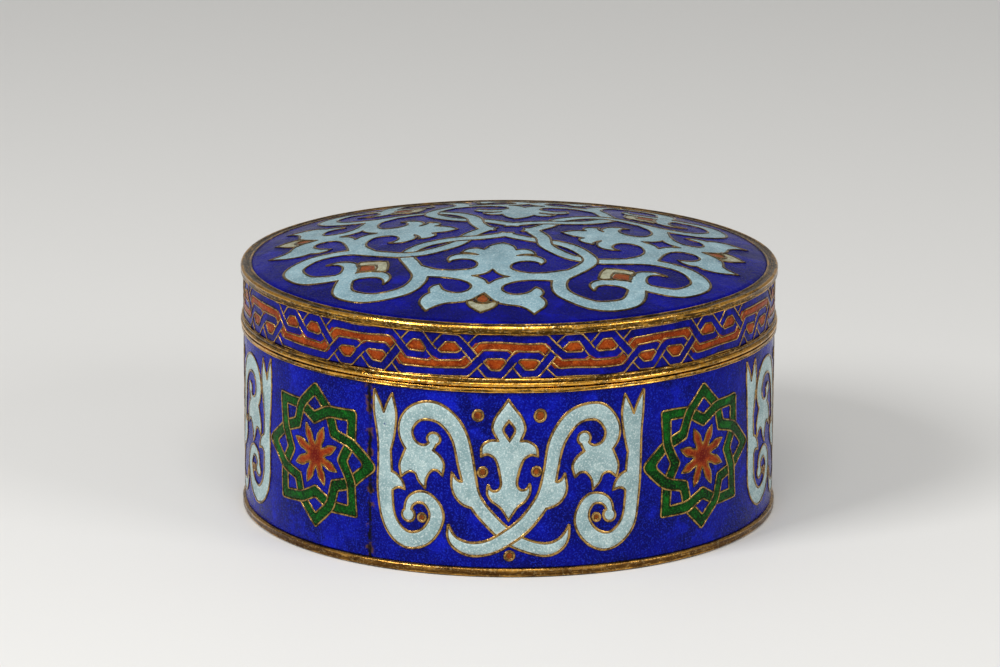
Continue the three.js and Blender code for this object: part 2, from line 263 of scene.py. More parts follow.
@dataclass(frozen=True)
class Enamel:
    """Fired glass: a mottled body colour, grains that melted unevenly, pits, and a rippled polish.

    A mesh's "mark" is the distance from the nearest wire in millimetres. The rim colour lies beside the wires
    and the core colour in the middle between them, where they are given. On the pale enamels the rim colour is
    a painted highlight along the wires, and on the green enamel it is painted shade.
    """

    name: str
    slot: str
    deep: str
    body: str
    light: str
    grain: str
    grains: float = 0.4
    mottle: float = 7.0
    gloss: float = 0.2
    rim: str = ""
    core: str = ""
    pinhole: str = ""
    seam: bool = False
    shine: float = 0.13

    # Sizes of the glass's marks in millimetres, the joint's angle left of the front in radians, and its colours
    PALE_GRAIN = 0.26
    DARK_GRAIN = 0.38
    PIT = 1.9
    PINHOLE = 4.3
    HAZE = 2.4
    SWELL = 3.2
    RIPPLE = 0.45
    SEAM_ANGLE = 0.527
    SEAM_BROWN = "52351a"
    SEAM_BLACK = "0c0810"

    def make(self) -> bpy.types.Material:
        """Builds the material.

        Returns:
            The material.
        """
        n = Nodes(self.name)
        tone = n.mix(n.ramp(n.noise(self.mottle, 4, 0.6), 0.36, 0.64), self.deep, self.body)
        tone = n.mix(n.ramp(n.noise(self.mottle * 0.45, 3), 0.5, 0.78), tone, self.light)
        if self.core:
            tone = n.mix(n.ramp(n.mark(), 0.5, 1.15), tone, self.core)
        # The rim colour beside the wires: on the pale enamels a painted highlight, on the green a painted shade
        if self.rim:
            reach = n.plus(n.mark(), n.ramp(n.noise(0.9), 0.3, 0.7, -0.12, 0.12))
            tone = n.mix(n.ramp(reach, 0.1, 0.5, 0.75, 0), tone, self.rim)
        pale, dark = (n.noise(size, 2, 0.75) for size in (self.PALE_GRAIN, self.DARK_GRAIN))
        tone = n.mix(n.ramp(pale, 0.5, 0.66, 0, self.grains), tone, self.grain)
        tone = n.mix(n.ramp(dark, 0.52, 0.68, 0, self.grains * 0.9), tone, self.deep)
        pits = n.ramp(n.cells(self.PIT), 0.0, 0.08, 1, 0)
        tone = n.mix(n.times(pits, 0.6), tone, self.deep)
        if self.pinhole:
            tone = n.mix(n.ramp(n.cells(self.PINHOLE), 0.03, 0.065, 0.9, 0), tone, self.pinhole)
        rough = n.ramp(n.noise(self.HAZE), 0.35, 0.7, self.gloss * 0.8, self.gloss * 1.5)
        skin = n.bump(n.noise(self.SWELL, 2, 0.5), 0.08)
        if self.seam:
            line, specks = self.joint(n)
            tone = n.mix(line, n.mix(specks, tone, self.SEAM_BROWN), self.SEAM_BLACK)
            rough = n.plus(rough, n.times(line, 0.3))
            skin = n.bump(n.times(line, -1.0), 0.1, skin)
        skin = n.bump(n.noise(self.RIPPLE, 3, 0.65), 0.05, skin)
        skin = n.bump(n.times(pits, -1.0), 0.04, skin)
        n.plug(Base_Color=tone, Roughness=rough, Normal=skin, IOR=1.5, Specular_IOR_Level=self.shine)
        return n.material

    def joint(self, n: Nodes) -> tuple[Socket, Socket]:
        """The upright joint in the wall, left of the front panel.

        Args:
            n: the material's nodes.

        Returns:
            Its dark line, and the brown specks beside it.
        """
        angle, _, _ = n.around()
        waver = n.ramp(n.noise(1.5, 4, 0.65), 0.2, 0.8, -0.007, 0.007)
        off = n.work("ABSOLUTE", n.plus(n.plus(angle, self.SEAM_ANGLE), waver))
        broken = n.ramp(n.noise(2.1, 3), 0.36, 0.5, 0.35, 1)
        specks = n.ramp(n.noise(1.3, 3), 0.5, 0.6, 0, 0.9)
        line, beside = n.ramp(off, 0.003, 0.0095, 1, 0), n.ramp(off, 0.008, 0.022, 1, 0)
        return n.times(line, broken), n.times(beside, specks)


@dataclass(frozen=True)
class Gilt:
    """Gilded copper: fine scratches, tarnish in the hollows, rubbed bright where it stands proud.

    A mesh's "mark" is 1 where it is worn and 0 in a hollow. Where it is high the gilt is worn bright and also
    carries a painted highlight; where it is low it is tarnished and also carries painted shade. Where painted
    glints are asked for, bright streaks and specks are painted highlights. A spun piece's scratches run round
    the box.
    """

    name: str
    slot: str
    bright: str
    dull: str
    tarnish: str
    polish: float = 0.26
    spun: bool = True
    painted_glints: float = 0.0

    # Sizes of its marks in millimetres: scratches and smears on a spun piece, then on any other; STREAK and
    # SPECK size the painted glints
    SPUN_MARKS = (0.13, 0.42)
    LOOSE_MARKS = (0.25, 0.9)
    RUBBING = 2.6
    STAIN = 0.8
    STREAK = 0.2
    SPECK = 0.36
    GRAIN = 0.34
    DENT = 1.2
    # How far a scratch reaches round the box for each radian, in metres, and the colour of a painted glint's
    # speck
    STRETCH = 0.0035
    PAINTED_GLINT = "ffe2a0"

    def make(self) -> bpy.types.Material:
        """Builds the material.

        Returns:
            The material.
        """
        n = Nodes(self.name)
        lanes, marks = n.place, self.LOOSE_MARKS
        if self.spun:
            angle, radius, height = n.around()
            reach = n.times(angle, self.STRETCH)
            lanes = n.add("ShaderNodeCombineXYZ", X=reach, Y=radius, Z=height).outputs[0]
            marks = self.SPUN_MARKS
        lines, smear = (n.noise(size, 3, 0.7, lanes) for size in marks)
        # Follows the mark: partly worn gilding and tarnish, partly painted highlight on proud edges and painted
        # shade in hollows
        rubbed_and_lit = n.plus(n.mark(), n.ramp(smear, 0.35, 0.65, -0.25, 0.25))
        rubbed_and_lit = n.plus(rubbed_and_lit, n.ramp(n.noise(self.RUBBING, 4, 0.6), 0.35, 0.65, -0.15, 0.15))
        tone = n.mix(n.ramp(rubbed_and_lit, -0.1, 0.4), self.tarnish, self.dull)
        tone = n.mix(n.ramp(rubbed_and_lit, 0.6, 1.0), tone, self.bright)
        stain = n.ramp(n.noise(self.STAIN, 4, 0.7), 0.56, 0.72, 0, 0.6)
        for dark in (stain, n.ramp(lines, 0.53, 0.66, 0, 0.5)):
            tone = n.mix(dark, tone, self.tarnish)
        # Painted highlights: bright streaks along the scratches and pale specks on proud places, standing in for
        # glints of light
        if self.painted_glints:
            streak = n.ramp(n.noise(self.STREAK, 2, 0.8, lanes), 0.56, 0.63, 0, self.painted_glints)
            speck = n.times(n.ramp(n.noise(self.SPECK, 2, 0.8), 0.56, 0.64, 0, self.painted_glints), n.mark())
            tone = n.mix(speck, n.mix(streak, tone, self.bright), self.PAINTED_GLINT)
        rough = n.ramp(rubbed_and_lit, 0.1, 0.9, self.polish * 1.6, self.polish * 0.75)
        rough = n.plus(rough, n.times(stain, 0.2))
        skin = n.bump(n.noise(self.GRAIN, 2, 0.7), 0.02, n.bump(n.noise(self.DENT, 3), 0.06))
        n.plug(Base_Color=tone, Metallic=1.0, Roughness=rough, Normal=n.bump(lines, 0.016, skin))
        return n.material


class Finish(Enum):
    """The box's finishes: name, slot and colours, for enamel then its grains, mottle and gloss."""

    COBALT = Enamel(
        "cobalt_enamel", "cobalt_enamel", "020248", "03046e", "070c8c", "141cac", 0.34, 9.0, shine=0.045
    )
    COBALT_WALL = Enamel(
        "cobalt_wall_enamel", "cobalt_enamel", "030450", "04087a", "0b16a4", "2038cc", 0.5, 8.0,
        seam=True, shine=0.06,
    )
    COBALT_STRAP = Enamel(
        "cobalt_strap_enamel", "cobalt_enamel", "030350", "060876", "0f149a", "2028b0", 0.35, 3.0, 0.22,
        shine=0.06,
    )
    # Its rim colour, lighter than its body, is a painted highlight along the wires
    PALE = Enamel(
        "pale_turquoise_enamel", "turquoise_enamel", "6a8993", "7f9fa9", "92b0b8", "bcced0", 0.62, 6.0, 0.24,
        rim="a6bcbc", pinhole="1c2a70",
    )
    # Its rim colour, lighter than its body, is a painted highlight along the wires
    PALE_WALL = Enamel(
        "pale_wall_enamel", "turquoise_enamel", "7b9597", "95adae", "a9bdbb", "d4dfdb", 0.62, 5.0, 0.24,
        rim="b4c6c4", pinhole="1c2a70",
    )
    CREAM = Enamel(
        "cream_enamel", "turquoise_enamel", "7c7b64", "9a9b82", "b0b09a", "cacab6", 0.4, 2.0, 0.26,
        rim="8a845e",
    )
    # Its near-black rim colour is painted shade along the wires
    GREEN = Enamel(
        "green_enamel", "green_enamel", "011a03", "043a09", "0a6014", "228a28", 0.4, 5.0,
        rim="021a04", shine=0.07,
    )
    AMBER = Enamel(
        "amber_enamel", "amber_enamel", "5c2004", "803808", "984c12", "b06a26", 0.35, 1.4, 0.24, rim="62420f"
    )
    STAR = Enamel(
        "orange_star_enamel", "amber_enamel", "621a05", "842a07", "983a0c", "b05c22", 0.35, 1.6, 0.22,
        rim="945a1c", core="5c0a04", shine=0.07,
    )
    BRICK = Enamel(
        "brick_red_enamel", "terracotta_enamel", "661c04", "8e370a", "a84a10", "c07030", 0.4, 2.4, 0.24,
        rim="6c2a0a", shine=0.06,
    )
    LINING = Enamel("lining_enamel", "counter_enamel", "1f6d92", "3187ab", "4fa2c0", "7cbcd0", 0.4, 8.0, 0.3)
    # The rims and the foot carry painted glints
    RIM = Gilt("gilt_rim", "gilt", "e2a640", "583f18", "21150a", 0.18, painted_glints=0.6)
    FOOT = Gilt("gilt_foot", "gilt", "b8883e", "5a3c1a", "241609", 0.24, painted_glints=0.35)
    WIRE = Gilt("gilt_wire", "gilt", "b48f52", "60482a", "281c10", spun=False)
    # A darker copy of the wire finish, used on the dome and the rosettes: its darkness is painted shade for the
    # dark reflections of the dome's wires
    DARK_WIRE = Gilt("dark_gilt_wire", "gilt", "ac8a4c", "48361e", "160f07", 0.24, spun=False)
    COLLAR = Gilt("gilt_collar", "gilt", "d3a54c", "8a682e", "4a3418", 0.24)
    COPPER = Gilt("copper_sheet", "copper", "c58a5c", "93603c", "4c3020", 0.36)


@cache
def material(finish: Finish) -> bpy.types.Material:
    """The material of a finish, made once."""
    return finish.value.make()


# Surfaces that a flat drawing is laid on


class Ground(Protocol):
    """A surface that carries a flat drawing."""

    def lay(self, flat: Points, height: np.ndarray | float) -> Points:
        """Lays flat points on the surface, HEIGHT above it."""
        ...


def by_hand(x: np.ndarray, y: np.ndarray) -> tuple[np.ndarray, np.ndarray]:
    """Where a hand that strays a little puts a drawn point.

    Each way it strays by two slow sines, which meet themselves again after a turn round the drum.

    Args:
        x: millimetres across, or round the drum at DRUM_R.
        y: millimetres up.

    Returns:
        The two places, up to 0.15 mm away.
    """
    a = x / DRUM_R
    across = 0.09 * np.sin(13 * a + 0.45 * y) + 0.06 * np.sin(29 * a - 0.6 * y + 2)
    up = 0.09 * np.sin(17 * a - 0.5 * y + 1) + 0.05 * np.sin(31 * a + 0.7 * y + 4)
    return x + across, y + up


@dataclass(frozen=True)
class Drum:
    """The wall. A drawing's x is the distance round it at DRUM_R, 0 at the front, and its y is height."""

    turn: float = 0.0
    radius: float = GROUND_R

    def lay(self, flat: Points, height: np.ndarray | float) -> Points:
        """Lays a drawing on the wall: x = r sin a, y = -r cos a, z = the drawing's y, strayed by hand.

        Args:
            flat: the drawing's points.
            height: how far they are from the wall.

        Returns:
            The places, where a = the drawing's x / DRUM_R + turn and r = radius + height.
        """
        x, z = by_hand(flat[..., 0] + self.turn * DRUM_R, flat[..., 1])
        a = x / DRUM_R
        r = self.radius + height
        return np.stack([r * np.sin(a), -r * np.cos(a), z], axis=-1)


@dataclass(frozen=True)
class Dome:
    """The lid's dome, a shallow paraboloid: z = ledge + rise (1 - (r / R)^2)."""

    turn: float = math.radians(-7.0)

    def lay(self, flat: Points, height: np.ndarray | float) -> Points:
        """Turns a drawing about Z, strays it by hand and lifts it on to the dome.

        Args:
            flat: the drawing's points.
            height: how far they are above the dome.

        Returns:
            The places.
        """
        c, s = math.cos(self.turn), math.sin(self.turn)
        x, y = by_hand(flat[..., 0] * c - flat[..., 1] * s, flat[..., 0] * s + flat[..., 1] * c)
        r2 = (x * x + y * y) / DOME_R**2
        return np.stack([x, y, LEDGE_Z + DOME_RISE * (1 - r2) + height], axis=-1)


# Flat drawing

# How far apart a drawn line's points are, how many points are measured at once, and what counts as nothing
STEP = 0.25
AT_ONCE = 500
TINY = 1e-6


def spline(stops: Stops, step: float = STEP, closed: bool = False) -> Points:
    """A smooth line through stops, with sharp corners where a stop says so.

    Between two stops p1 and p2 it is the cubic with slopes (p2 - p0) / 2 and (p3 - p1) / 2. At a corner the
    slope is that of the straight line to the next stop.

    Args:
        stops: (x, y) or (x, y, 1) for a corner.
        step: about how far apart the line's points are.
        closed: whether the last stop leads back to the first.

    Returns:
        The line's points, (n, 2).
    """
    p = np.array([s[:2] for s in stops], float)
    corner = np.array([len(s) > 2 for s in stops])
    if not closed:
        corner[0] = corner[-1] = True
    n = len(p)
    before, after = np.roll(p, 1, 0), np.roll(p, -1, 0)
    slope_in = np.where(corner[:, None], p - before, (after - before) / 2)
    slope_out = np.where(corner[:, None], after - p, (after - before) / 2)
    pieces = []
    for i in range(n if closed else n - 1):
        j = (i + 1) % n
        count = max(2, int(np.ceil(np.linalg.norm(p[j] - p[i]) / step)))
        t = np.arange(count)[:, None] / count
        pieces.append(
            (2 * t**3 - 3 * t**2 + 1) * p[i]
            + (t**3 - 2 * t**2 + t) * slope_out[i]
            + (3 * t**2 - 2 * t**3) * p[j]
            + (t**3 - t**2) * slope_in[j]
        )
    return np.concatenate(pieces if closed else [*pieces, p[-1:]])


def leftward(along: Points) -> Points:
    """Directions turned a quarter anticlockwise."""
    return np.stack([-along[:, 1], along[:, 0]], 1)


def strap(stops: Stops, smooth: int = 24) -> Points:
    """The outline of a strap whose middle line and width run smoothly through stops.

    Between two stops both follow the cubic of spline(). Then each point moves half way to the middle of its
    neighbours SMOOTH times.

    Args:
        stops: (x, y, width).
        smooth: how often the line is smoothed.

    Returns:
        The points of the closed outline.
    """
    s = np.array(stops, float)
    ends = np.concatenate([2 * s[:1] - s[1:2], s, 2 * s[-1:] - s[-2:-1]])
    pieces = []
    for i in range(1, len(ends) - 2):
        p0, p1, p2, p3 = ends[i - 1 : i + 3]
        count = max(2, int(np.ceil(np.linalg.norm(p2[:2] - p1[:2]) / STEP)))
        t = np.arange(count)[:, None] / count
        square, cube = 2 * p0 - 5 * p1 + 4 * p2 - p3, 3 * p1 - p0 - 3 * p2 + p3
        pieces.append(0.5 * (2 * p1 + (p2 - p0) * t + square * t**2 + cube * t**3))
    line = np.concatenate([*pieces, s[-1:]])
    for _ in range(smooth):
        line[1:-1] += (line[:-2] + line[2:] - 2 * line[1:-1]) / 4
    along = np.gradient(line[:, :2], axis=0)
    along /= np.linalg.norm(along, axis=1, keepdims=True)
    across = leftward(along) * line[:, 2:3] / 2
    return np.concatenate([line[:, :2] + across, (line[:, :2] - across)[::-1]])


def steps_of(line: Points, closed: bool) -> list[Points]:
    """The directions in which a line reaches and leaves each of its points.

    Args:
        line: the line's points.
        closed: whether it is a loop.

    Returns:
        The directions of arrival and those of departure, every one of length 1.
    """
    if closed:
        pair = (line - np.roll(line, 1, 0), np.roll(line, -1, 0) - line)
    else:
        step = np.diff(line, axis=0)
        pair = (np.concatenate([step[:1], step]), np.concatenate([step, step[-1:]]))
    return [step / np.linalg.norm(step, axis=1, keepdims=True) for step in pair]


def shifted(line: Points, distance: float, closed: bool) -> Points:
    """Moves a line sideways, with mitred corners: by (a + b) distance / (1 + a.b), where a and b point left.

    Args:
        line: the line's points.
        distance: how far it moves, to its left where this is above 0.
        closed: whether it is a loop.

    Returns:
        The moved line.
    """
    a, b = map(leftward, steps_of(line, closed))
    return line + (a + b) * (distance / (1 + (a * b).sum(1, keepdims=True)))


def softened(line: Points, radius: float | np.ndarray, closed: bool, steps: int = 5) -> Points:
    """Rounds corners: each becomes (1-t)^2 a + 2t(1-t) corner + t^2 b between points a and b beside it.

    The points are a radius away, or nearly half way to the line's next point where that is less.

    Args:
        line: points whose first two values are their place.
        radius: one for all corners, or a column with one for each.
        closed: whether the line is a loop.
        steps: how many points a corner becomes.

    Returns:
        The line's points.
    """
    ends = []
    for away in (np.roll(line, 1, 0) - line, np.roll(line, -1, 0) - line):
        reach = np.linalg.norm(away[:, :2], axis=1, keepdims=True)
        ends.append((line + away / reach * np.minimum(radius, 0.45 * reach))[:, None])
    t = np.linspace(0, 1, steps)[None, :, None]
    curve = (1 - t) ** 2 * ends[0] + 2 * t * (1 - t) * line[:, None] + t**2 * ends[1]
    if closed:
        return curve.reshape(-1, line.shape[1])
    return np.concatenate([line[:1], curve[1:-1].reshape(-1, line.shape[1]), line[-1:]])


def finely(line: Points, step: float, closed: bool = True) -> Points:
    """The same line with more points, evenly set between its own.

    Args:
        line: the line's points.
        step: the most that two points may be apart.
        closed: whether it is a loop.

    Returns:
        The line's points.
    """
    if closed:
        line = np.concatenate([line, line[:1]])
    spans = np.diff(line, axis=0)
    counts = np.maximum(1, np.ceil(np.linalg.norm(spans, axis=1) / step - 1e-9)).astype(int)
    nth = np.arange(counts.sum()) - np.repeat(np.cumsum(counts) - counts, counts)
    fine = np.repeat(line[:-1], counts, 0) + np.repeat(spans / counts[:, None], counts, 0) * nth[:, None]
    return fine if closed else np.concatenate([fine, line[-1:]])


def inside(points: Points, outline: Points) -> np.ndarray:
    """Whether points are inside a closed outline: a line to the right crosses it an odd number of times.

    Args:
        points: the points.
        outline: the outline's points.

    Returns:
        True or False for each point.
    """
    x, y = points[:, 0][:, None], points[:, 1][:, None]
    x0, y0 = outline[:, 0][None], outline[:, 1][None]
    x1, y1 = np.roll(x0, -1), np.roll(y0, -1)
    spans = (y0 > y) != (y1 > y)
    slope = (x1 - x0) / np.where(y1 == y0, 1, y1 - y0)
    return ((spans & (x < x0 + (y - y0) * slope)).sum(1) % 2).astype(bool)


def any_of(outlines: Sequence[Points], holes: Sequence[Points] = ()) -> Cover:
    """A test for points that are in one of the outlines and in no hole.

    Args:
        outlines: closed outlines.
        holes: closed outlines of what they leave out.

    Returns:
        The test.
    """

    def test(points: Points) -> np.ndarray:
        """Tests points.

        Args:
            points: the points.

        Returns:
            True or False for each point.
        """
        found = np.zeros(len(points), bool)
        for outline in outlines:
            found |= inside(points, outline)
        for hole in holes:
            found &= ~inside(points, hole)
        return found

    return test


def from_line(points: Points, line: Points, closed: bool = False) -> np.ndarray:
    """How far points are from a line: the least of their distances from its straight steps.

    Args:
        points: the points.
        line: the line's points.
        closed: whether it is a loop.

    Returns:
        The distance of each point.
    """
    a = line if closed else line[:-1]
    d = (np.roll(line, -1, 0) - line) if closed else np.diff(line, axis=0)
    out = np.empty(len(points))
    for i in range(0, len(points), AT_ONCE):
        w = points[i : i + AT_ONCE, None] - a[None]
        t = np.clip((w * d).sum(-1) / np.maximum((d * d).sum(-1), 1e-12), 0, 1)
        out[i : i + AT_ONCE] = np.sqrt(((w - t[..., None] * d) ** 2).sum(-1).min(1))
    return out


def nearest(points: Points, others: Points) -> np.ndarray:
    """How far each point is from the nearest of the other points.

    Args:
        points: the points.
        others: the other points.

    Returns:
        The distance of each point.
    """
    out = np.empty(len(points))
    for i in range(0, len(points), AT_ONCE):
        out[i : i + AT_ONCE] = ((points[i : i + AT_ONCE, None] - others[None]) ** 2).sum(-1).min(1)
    return np.sqrt(out)


def ring(x: float, y: float, radius: float) -> Points:
    """A circle: (x + r cos a, y + r sin a)."""
    a = np.linspace(0, 2 * np.pi, 24, endpoint=False)
    return np.stack([x + radius * np.cos(a), y + radius * np.sin(a)], 1)


def mirrored(line: Points) -> Points:
    """A drawing's mirror image in its upright axis."""
    return (line * [-1, 1])[::-1]


def whole(stops: Stops) -> Points:
    """A closed outline from the stops of its right half, whose ends are on the axis."""
    half = spline(stops)
    return np.concatenate([half, mirrored(half[1:-1])])


def turned_by(line: Points, degrees: float) -> Points:
    """A drawing turned anticlockwise about its middle."""
    a = math.radians(degrees)
    return line @ np.array([[math.cos(a), math.sin(a)], [-math.sin(a), math.cos(a)]])


def runs(line: Points, hidden: np.ndarray, closed: bool = True) -> list[Stretch]:
    """The stretches of a line that show, each reaching one point into what hides it.

    Args:
        line: the line's points.
        hidden: which of them something covers.
        closed: whether the line is a loop.

    Returns:
        Pairs of a stretch and whether it is a whole loop.
    """
    if not hidden.any():
        return [(line, closed)]
    if hidden.all():
        return []
    if closed:
        first = int(np.argmax(hidden))
        line, hidden = np.roll(line, -first, 0), np.roll(hidden, -first)
        line, hidden = np.concatenate([line, line[:1]]), np.concatenate([hidden, hidden[:1]])
    edges = [0, *np.flatnonzero(np.diff(hidden)) + 1, len(line)]
    found = [
        line[max(start - 1, 0) : end + 1] for start, end in zip(edges[:-1], edges[1:]) if not hidden[start]
    ]
    return [(part, False) for part in found if len(part) > 2]


# Meshes


def linked(name: str, data: bpy.types.ID) -> bpy.types.Object:
    """Puts an object into the scene.

    Args:
        name: its name.
        data: its mesh, camera or light.

    Returns:
        The object.
    """
    made = bpy.data.objects.new(name, data)
    bpy.context.scene.collection.objects.link(made)
    return made


def grid(rows: int, columns: int, wrap: bool = False, wrap_columns: bool = False) -> Faces:
    """Faces of a grid of points, row by row.

    Args:
        rows: how many rows.
        columns: how many points in a row.
        wrap: whether the last row joins the first.
        wrap_columns: whether the last column joins the first.

    Returns:
        The faces, (m, 4), each as (i, j), (i, j + 1), (i + 1, j + 1), (i + 1, j).
    """
    i = np.arange(rows if wrap else rows - 1)[:, None]
    j = np.arange(columns if wrap_columns else columns - 1)[None]
    i1, j1 = (i + 1) % rows, (j + 1) % columns
    corners = [i * columns + j, i * columns + j1, i1 * columns + j1, i1 * columns + j]
    return np.stack(corners, -1).reshape(-1, 4)


@dataclass(frozen=True)
class Sheet:
    """How a sheet of enamel lies: its edge's height above the ground, its net's spacing and its thickness."""

    height: float
    net: float
    thick: float


class Piece:
    """Gathers the parts of one mesh, then makes it and dresses it.

    Each point has a mark, kept as the mesh's attribute "mark", that its finish reads.
    """

    # How much higher a sheet's middle is than its edge, how far from the edge it rises, and the share of the
    # net's spacing that its inner points keep from the edge
    CROWN = 0.03
    CROWN_REACH = 0.4
    CLEAR = 0.45

    def __init__(self, name: str, finish: Finish) -> None:
        """Starts with nothing in it.

        Args:
            name: the piece's name.
            finish: its finish.
        """
        self.name, self.finish = name, finish
        self.points: list[Points] = []
        self.marks: list[np.ndarray] = []
        self.faces: list[list[int]] = []
        self.count = 0

    def put(self, points: Points, marks: np.ndarray, *faces: Faces) -> None:
        """Adds a part.

        Args:
            points: its points in millimetres.
            marks: their marks.
            faces: lists of faces that count from the first of the points.
        """
        for some in faces:
            self.faces += (some + self.count).tolist()
        self.marks.append(np.broadcast_to(marks, points.shape[:-1]).ravel())
        self.points.append(points.reshape(-1, 3))
        self.count += len(self.points[-1])

    def fill(
        self,
        ground: Ground,
        loops: Sequence[Points],
        sheet: Sheet,
        covered: Cover | None = None,
        wired: Points | None = None,
    ) -> None:
        """Fills the covered part of a drawing with a sheet that follows the ground.

        The loops' points and a square grid between them are joined by a Delaunay net that keeps the loops'
        edges. Its triangles stay where their middle is covered. At distance d from the wires the sheet is
        height + crown (1 - exp(-d / reach)) above the ground, and its mark is d.

        Args:
            ground: the surface that it lies on.
            loops: closed lines, at which the covered part may end.
            sheet: how it lies.
            covered: says which points are covered, or None for all that are in a loop.
            wired: points of the wires round the sheet, or None where they follow the loops.
        """
        covered = covered or any_of(loops)
        border = np.concatenate(loops)
        low, high = border.min(0), border.max(0)
        x, y = np.meshgrid(*(np.arange(low[k] + sheet.net / 3, high[k], sheet.net) for k in (0, 1)))
        inner = np.stack([x.ravel(), y.ravel()], 1)
        inner = inner[covered(inner)]
        inner = inner[nearest(inner, border) > self.CLEAR * sheet.net]
        sizes = np.array([len(loop) for loop in loops])
        starts = np.repeat(np.cumsum(sizes) - sizes, sizes)
        nth = np.arange(len(border)) - starts
        edges = np.stack([starts + nth, starts + (nth + 1) % np.repeat(sizes, sizes)], 1)
        places = [Vector(p) for p in np.concatenate([border, inner]).tolist()]
        net = delaunay_2d_cdt(places, edges.tolist(), [], 0, 1e-5)
        flat, faces = np.array([v[:] for v in net[0]]), np.array(net[2])
        faces = faces[covered(flat[faces].mean(1))]
        a, b, c = (flat[faces[:, k]] for k in range(3))
        area = (b - a)[:, 0] * (c - a)[:, 1] - (b - a)[:, 1] * (c - a)[:, 0]
        faces = np.where((area < 0)[:, None], faces[:, ::-1], faces)[np.abs(area) > 1e-9]
        used, faces = np.unique(faces, return_inverse=True)
        gap = nearest(flat[used], border if wired is None else wired)
        points = ground.lay(flat[used], sheet.height + self.CROWN * (1 - np.exp(-gap / self.CROWN_REACH)))
        self.put(points, gap, faces.reshape(-1, 3))

    def make(self, body: str, replaced: Sequence[str] = (), thick: float = 0.0, merge: bool = False) -> None:
        """Makes the object.

        Args:
            body: the CAD body that it rides on.
            replaced: the CAD nodes that it stands for.
            thick: the depth of a wall added under the surface, in millimetres.
            merge: whether points in one place become one.
        """
        mesh = bpy.data.meshes.new(self.name)
        mesh.from_pydata((np.concatenate(self.points) * MM).tolist(), [], self.faces)
        mark = mesh.attributes.new("mark", "FLOAT", "POINT")
        mark.data.foreach_set("value", np.concatenate(self.marks).astype(np.float32))
        if merge:
            work = bmesh.new()
            work.from_mesh(mesh)
            bmesh.ops.remove_doubles(work, verts=work.verts, dist=1e-8)
            work.to_mesh(mesh)
            work.free()
        mesh.validate()
        mesh.shade_smooth()
        made = linked(self.name, mesh)
        mesh.materials.append(material(self.finish))
        if thick:
            wall = made.modifiers.new("wall", "SOLIDIFY")
            wall.thickness, wall.offset = thick * MM, -1.0
        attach(made, body)
        if replaced:
            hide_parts(*replaced)
        LOG.info("%s: %d points, %d faces", self.name, self.count, len(self.faces))


# A turned profile's corners have this many points, and its radius has its own unevenness, at most this big
CORNER_STEPS = 4
OTHER_SEED = 50
MOST_OUT = 0.02


def wobble(angle: np.ndarray, seed: int) -> np.ndarray:
    """Unevenness left by hand work: sines of 3 to 130 waves round the box with random phases, about 1 high.

    Args:
        angle: the angles round the box.
        seed: which phases.

    Returns:
        The unevenness at each angle.
    """
    r = np.random.default_rng(seed)
    waves = np.array([3, 5, 8, 13, 21, 40, 67, 96, 130])
    phases = r.uniform(0, 2 * np.pi, len(waves))
    parts = np.sin(angle[..., None] * waves + phases) / waves**0.35
    return parts.sum(-1) * 0.6


def turned(
    name: str,
    finish: Finish,
    body: str,
    node: str,
    profile: Stops | Points,
    round_: float = 0.1,
    segments: int = 256,
    seed: int = 1,
    closed: bool = True,
) -> None:
    """Makes a piece turned about the Z axis: (r, z) becomes (r sin a, -r cos a, z), both with unevenness.

    Args:
        name: the piece's name.
        finish: its finish.
        body: the CAD body that it rides on.
        node: the CAD node that it stands for.
        profile: anticlockwise points (radius, height, mark, unevenness), the last two 0 if left out.
        round_: how far from a corner its rounding starts.
        segments: how many steps round the axis.
        seed: which unevenness.
        closed: whether the profile leads back to its start, not from the axis to the axis.
    """
    rows = np.zeros((len(profile), 4))
    rows[:, : len(profile[0])] = profile
    if round_:
        rows = softened(rows, round_, closed, CORNER_STEPS)
        rows = rows[np.r_[True, np.linalg.norm(np.diff(rows[:, :2], axis=0), axis=1) > TINY]]
    a = np.linspace(0, 2 * np.pi, segments, endpoint=False)[None]
    r, z, mark, uneven = (rows[:, k][:, None] + 0 * a for k in range(4))
    z = z + wobble(a, seed) * uneven
    r = r + wobble(a + 1, seed + OTHER_SEED) * np.minimum(uneven, MOST_OUT)
    piece = Piece(name, finish)
    points = np.stack([r * np.sin(a), -r * np.cos(a), z], -1)
    piece.put(points, mark, grid(len(rows), segments, wrap=closed, wrap_columns=True))
    piece.make(body, [node], merge=not closed)


def at_rim(base: float, rows: Stops) -> Points:
    """A profile of rows (distance in from DRUM_R, height above BASE, mark, unevenness)."""
    return np.array([(DRUM_R - depth, base + up, mark, uneven) for depth, up, mark, uneven in rows])


